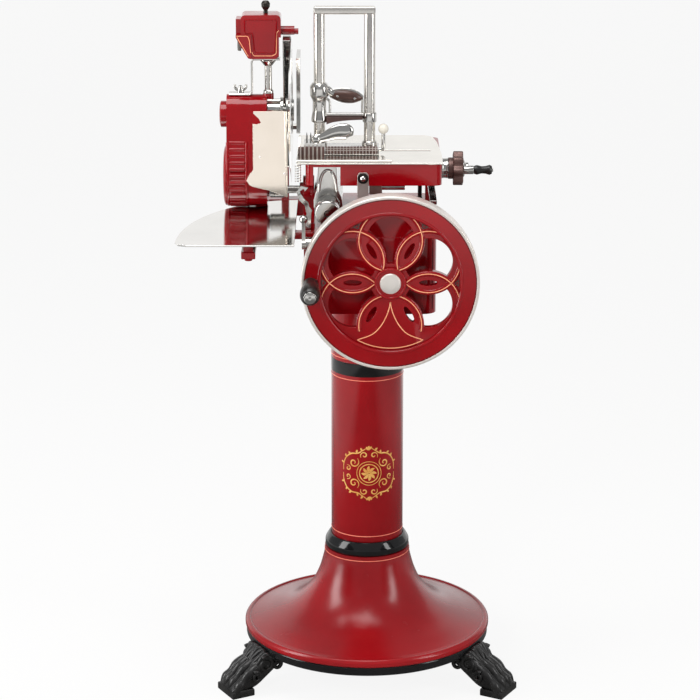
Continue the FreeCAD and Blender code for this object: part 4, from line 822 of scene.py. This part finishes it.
refined("sharpener_box", "sharpener_case", red_enamel, "sharpener", 1.6, 3,
        rounded=[(-257, 1421, 9), (-176, 1421, 9), (-180, 1332, 8), (-243, 1332, 5)])


def front_line(corners, y, wide, soft):
    """A painted line on a face turned to the front at y, through corners (x, z) rounded by soft."""
    flat = softened(corners, soft, closed=False)
    return ribbon(at_depth(flat, y), wide, (0, -1, 0))


box_lines = [front_line([(-265.5, 1379), (-242.5, 1379), (-239.6, 1370), (-237.2, 1345)], -31.0, 1.6, 3),
             front_line([(-234.8, 1346), (-231.5, 1338.5), (-193, 1338.5), (-185.5, 1343), (-184.6, 1386),
                         (-179.5, 1390)], -28.0, 1.6, 3),
             front_line([(-264.6, 1376.8), (-242.2, 1338.4)], -31.0, 1.6, 1)]
panel_edge = softened([(-249, 1385), (-249, 1412), (-184, 1412), (-188.5, 1345), (-229, 1345),
                       (-233, 1385)], 4.0)
panel_bead = tube(at_depth(panel_edge, -27.9), 1.3, 8, closed=True)
made("box_panel_edge", [panel_bead], red_enamel, "sharpener")
made("box_lines", box_lines, cream_paint, "sharpener")
refined("sharpener_knob", "sharpener_knob_dark", dark_steel, "sharpener_screw", 0.5)
refined("grinding_stone", "grinding_wheel", abrasive, "stone_a", 0.4)
refined("honing_stone", "honing_wheel", abrasive, "stone_b", 0.4)


# ---- Tray: a polished steel plate with one long curved edge. It lies on a red iron bracket of the stand
# ---- and slides out on it.

refined("receiving_tray", "tray_plate", mirror_steel, "tray", 0.8)
refined("tray_bracket", "tray_arm", red_enamel, "stand", 2.0)


# ---- Carriage: a red iron casting that carries the nickel-plated table. A shoe guides it on the main rail,
# ---- and a steel roller on the side rail.

refined("carriage_body", "carriage_casting", red_enamel, "carriage", 2.5, 3)
table_nickel = finish("table_nickel", "polished_nickel", (250, 246, 238), (240, 236, 228), 1.0,
                      (0.12, 0.24), 9, 1400, 0.05)
refined("table_plate", "food_table", table_nickel, "carriage", 1.0)
refined("slide_plate", "front_slide", table_nickel, "carriage", 1.5)
refined("carriage_shoe", "rail_shoe", polished_nickel, "carriage", 2.0)
arch = flowing([(-99, -125.2, 1080), (-96, -125.2, 1104), (-90, -125.2, 1119), (-81, -125.2, 1124),
                (-72, -125.2, 1119), (-66, -125.2, 1104), (-62, -125.2, 1080)], 50)
made("shoe_arch", [tube(arch, 3.0)], polished_nickel, "carriage")
mark = at_depth(curled((-81.5, 1049), 6, np.linspace(0.9, 2 * math.pi - 0.9, 40)), -187.2)
made("rail_mark", [tube(mark, 1.0, 8)], dark_steel, "stand")
SCREW = np.array([0.0, -20.0, 1105.0])
ring = [(19.8, 149), (21, 149), (21, 153), (20.4, 154), (20.4, 161), (21, 162), (21, 164.2), (19.8, 164.2)]
made("screw_collar", [turned(ring, 0.5, SCREW, "x", 72)], polished_nickel, "carriage")
refined("carriage_roller", "side_roller", machined_steel, "roller", 0.6)


# ---- Feed: a steel screw through the carriage, which moves the vice. A browned rosette handwheel is
# ---- pressed on its end and carries a small black grip on a pin.

refined("lead_screw", "feed_screw_rod", machined_steel, "feed_screw", 0.5)


def lobed(low, high, middle, swing, lobes, centre):
    """A rosette about X: its radius at a turn a is the outline's share of middle + swing cos(lobes a)."""
    edge = softened([(0, low), (middle, low), (middle, high), (0, high)], 2.5)
    turn = np.linspace(0, 2 * math.pi, 192, endpoint=False)
    radius = edge[:, :1] / middle * (middle + swing * np.cos(lobes * turn))
    across, up = radius * np.cos(turn), radius * np.sin(turn)
    depth = np.broadcast_to(edge[:, 1:], across.shape)
    return np.stack([depth, across, up], -1) + centre, True, True


dark_rosette = [lobed(174.5, 195, 32, 3.5, 8, SCREW),
                turned([(6.2, 164.6), (22, 164.6), (22, 175), (6.2, 175)], 1.5, SCREW, "x")]
made("dark_rosette", dark_rosette, browned_steel, "feed_screw", ["handwheel"])
bright_hub = [turned([(0, 194), (18, 194), (18, 197), (12, 200), (12, 206), (0, 206)], 1.2, SCREW, "x", 72),
              turned([(0, 196), (9, 196), (9, 216), (4, 216), (4, 256), (0, 256)], 0.9,
                     SCREW + (0, -16, 0), "x", 48)]
made("bright_hub", bright_hub, polished_nickel, "feed_screw")
refined("handwheel_grip", "small_grip", black_grip, "feed_grip", 0.6)


# ---- Vice: a nickel-plated base with steel spikes and a comb. Two columns are screwed into it, and on them
# ---- rides the press with its plate and its walnut handle; a spoon-shaped lever clamps the food.

walnut = finish("oiled_walnut", "walnut", (84, 54, 44), (46, 28, 24), 0.0, (0.3, 0.5), 18, 240, 0.3,
                coat=0.3, stretch=(1.0, 6.0, 6.0))
satin_nickel = finish("satin_nickel", "polished_nickel", (214, 204, 198), (190, 180, 174), 0.75,
                      (0.38, 0.52), 14, 1400, 0.1)
refined("vice_base", "vice_slide", polished_nickel, "vice", 1.5)


def brick(low, high, edge=1.5):
    """A block with rounded edges: sections (y, z) carried along x, the end ones drawn in by edge."""
    corners = softened([(low[1], low[2]), (high[1], low[2]), (high[1], high[2]), (low[1], high[2])], edge)
    middle = (np.array(low[1:], float) + np.array(high[1:], float)) / 2
    half = (np.array(high[1:], float) - np.array(low[1:], float)) / 2
    rows = []
    for x, inset in ((low[0], edge), (low[0] + edge, 0.0), (high[0] - edge, 0.0), (high[0], edge)):
        flat = middle + (corners - middle) * (half - inset) / half
        rows.append(np.column_stack([np.full(len(flat), x), flat]))
    return np.stack(rows), False, True


column_nickel = finish("column_nickel", "polished_nickel", (240, 236, 230), (222, 218, 212), 1.0,
                       (0.2, 0.3), 8, 1400, 0.05)
LEFT_COLUMN = (-98, -70, 0)
RIGHT_COLUMN = (3, -70, 0)
columns = []
for spot in (LEFT_COLUMN, RIGHT_COLUMN):
    columns.append(turned([(0, 1150), (11.5, 1150), (11.5, 1434), (0, 1434)], 0.8, spot, "z", 64))
    foot = [(11.4, 1164), (15.5, 1164), (15.5, 1170), (13, 1174), (11.4, 1174)]
    columns.append(turned(foot, 0.8, spot, "z", 64))
columns.append(brick((-109.5, -81.5, 1431), (14.5, -58.5, 1446), 3.0))
made("vice_columns", columns, column_nickel, "vice", ["press_frame"])
made("feed_comb", [brick((-86, -93.0, 1150.5), (19, -89.5, 1165.5), 1.0)], browned_steel, "vice")
teeth = [brick((x, -94.6, 1149.5), (x + 1.7, -92.5, 1166.2), 0.5) for x in np.arange(-83, 16, 6.5)]
teeth += [brick((-86, -94.2, z), (19, -92.6, z + 1.2), 0.4) for z in (1157.2, 1161.5)]
teeth += [brick((x, -95.2, 1144), (x + 3.2, -92.4, 1167.5), 0.8) for x in np.arange(-138, -88, 8.4)]
made("comb_teeth", teeth, satin_nickel, "vice")
made("jaw_band", [brick((-141, -94.0, 1146), (-88, -91.5, 1165), 1.0)], browned_steel, "vice")
spikes = [turned([(0, 1171), (1.8, 1171), (1.6, 1180), (0.2, 1188), (0, 1188)], 0.2, (x, y, 0), "z", 20)
          for x in (-124, -116) for y in (-84, -58)]
made("feed_spikes", spikes, machined_steel, "vice")
arm = softened([(16, -72, 1155), (31, -72, 1155), (31, -72, 1190)], 7, closed=False, steps=8)
made("knob_arm", [tube(arm, 4.0, 16)], polished_nickel, "vice")
half_turn = np.linspace(-math.pi / 2, math.pi / 2, 25)
round_knob = curled((0, 0), 10.5, half_turn)
round_knob[[0, -1], 0] = 0
ivory = finish("ivory_knob", "polished_nickel", (234, 229, 217), (218, 211, 197), 0.0, (0.18, 0.32), 30,
               900, 0.08, coat=0.4)
made("ivory_knob", [lathe(round_knob, (31, -72, 1198), "z", 48)], ivory, "vice")
left_sleeve = [(11.6, 1212), (16.4, 1212), (16.8, 1218), (15.5, 1226), (13.8, 1234), (13.8, 1256),
               (19, 1266), (19.5, 1284), (14.5, 1292), (11.6, 1292)]
right_sleeve = [(11.6, 1212), (14.2, 1212), (14.2, 1231), (11.6, 1231)]
bolster = flowing([(-82.5, -72, 1277.7), (-79, -72, 1275.5), (-76, -72, 1273), (-70, -72, 1269)], 20)
left_post = softened([(-84, -70, 1260), (-77, -70, 1254), (-77, -70, 1226)], 4, closed=False, steps=6)
right_post = softened([(-12, -70, 1227), (-12, -70, 1246), (-11.6, -70, 1258)], 4, closed=False, steps=6)
handle_line = np.linspace((-77, -70, 1268.5), (-10.2, -70, 1260), 40)
swell = flowing([(5.5,), (9.5,), (12.6,), (13.4,), (12.2,), (8.6,), (1.5,)], 40)[:, 0]
bridge = [turned(left_sleeve, 3.0, LEFT_COLUMN, "z", 64), turned(right_sleeve, 1.4, RIGHT_COLUMN, "z", 64),
          brick((-85.5, -77, 1224.5), (-8.8, -63, 1230.5), 1.6),
          tube(bolster, np.linspace(9.0, 6.5, 20), 20, 0.8), tube(left_post, 2.6), tube(right_post, 2.4),
          tube(handle_line + (0.6, 0, 1.2), swell + 2.2, 32, 0.22)]
made("press_bridge", bridge, polished_nickel, "press", ["press_arm"])
made("wooden_handle", [tube(handle_line, swell, 32, 0.8)], walnut, "press", ["press_handle"])
rivets = [turned([(0, -78), (2.4, -78), (2.4, -81.6), (0, -82.2)], 0.6, (x, 0, z), "y", 24)
          for x, z in ((-62, 1266), (-27, 1261.4))]
made("handle_rivets", rivets, polished_nickel, "press")
under = flowing([(-84, 1209.5), (-70, 1214), (-48, 1217), (-26, 1218.5), (-11, 1219)], 24)
outline = np.concatenate([[(-11, 1224), (-84, 1224)], under])
pad = np.stack([at_depth(outline, y) for y in (-86, -54)])
made("press_pad", [(pad, False, True)], browned_steel, "press", ["press_plate"])
bowl = flowing([(-106, -98, 1181), (-96, -98, 1181.5), (-82, -98, 1186), (-66, -98, 1192),
                (-50, -98, 1194.5), (-38, -98, 1192), (-31, -98, 1187)], 48)
swell = flowing([(8,), (8.5,), (11.0,), (14.5,), (17.0,), (14.0,), (2.0,)], 48)[:, 0]
spoon = [tube(bowl + (0, 0, 3), swell, 28, 0.45),
         turned([(0, -87.5), (3, -87.5), (3, -92), (8.5, -92), (8.5, -103), (6, -105), (0, -106)], 1.0,
                (-105, 0, 1181), "y", 48)]
made("spoon_lever", spoon, polished_nickel, "clamp", ["clamp_lever"])


# ---- Small fittings: a wound steel spring beside the carriage, a block and rod under its front, and the
# ---- washer and button of the screw that holds the strap lever.

coil_turn = np.linspace(0, 2 * math.pi * 7, 7 * 24)
coil = np.column_stack([curled((-141, -126), 5.5, coil_turn), 1099 + 36 * share_of(coil_turn)])
hook = np.array([(-141, -126, 1130), (-141, -126, 1140)], float)
spring = [tube(coil, 1.1, 8, up=(0, 0, 1)), tube(hook, 1.6, 10)]
made("coil_spring", spring, polished_nickel, "carriage")
made("stop_block", [brick((2, -134, 1076), (28, -120, 1097), 1.5)], browned_steel, "carriage")
stop_rod = turned([(0, 27), (6, 27), (6, 74), (0, 74)], 1.0, (0, -127, 1090), "x", 40)
made("stop_rod", [stop_rod], polished_nickel, "carriage")
washer = turned([(5, -140.2), (11, -140.2), (11, -144.5), (5, -144.5)], 0.8, (-10.5, 0, 1111), "y", 48)
made("strap_washer", [washer], dark_steel, "feed_catch")
button = turned([(0, -143), (6, -143), (5.6, -147), (3, -149.4), (0, -150)], 1.0, (-10.5, 0, 1111), "y", 40)
made("strap_button", [button], polished_nickel, "feed_catch")


# ---- Levers: the nickel-plated strap lever on the carriage, and the thickness lever and the trip lever,
# ---- both of plated steel, on the machine base.

refined("feed_lever", "strap_lever", satin_nickel, "feed_catch", 0.8)
refined("thickness_lever", "thickness_handle", polished_nickel, "thickness_arm", 1.0)
refined("trip_lever", "trip_hook", polished_nickel, "trip", 0.8)
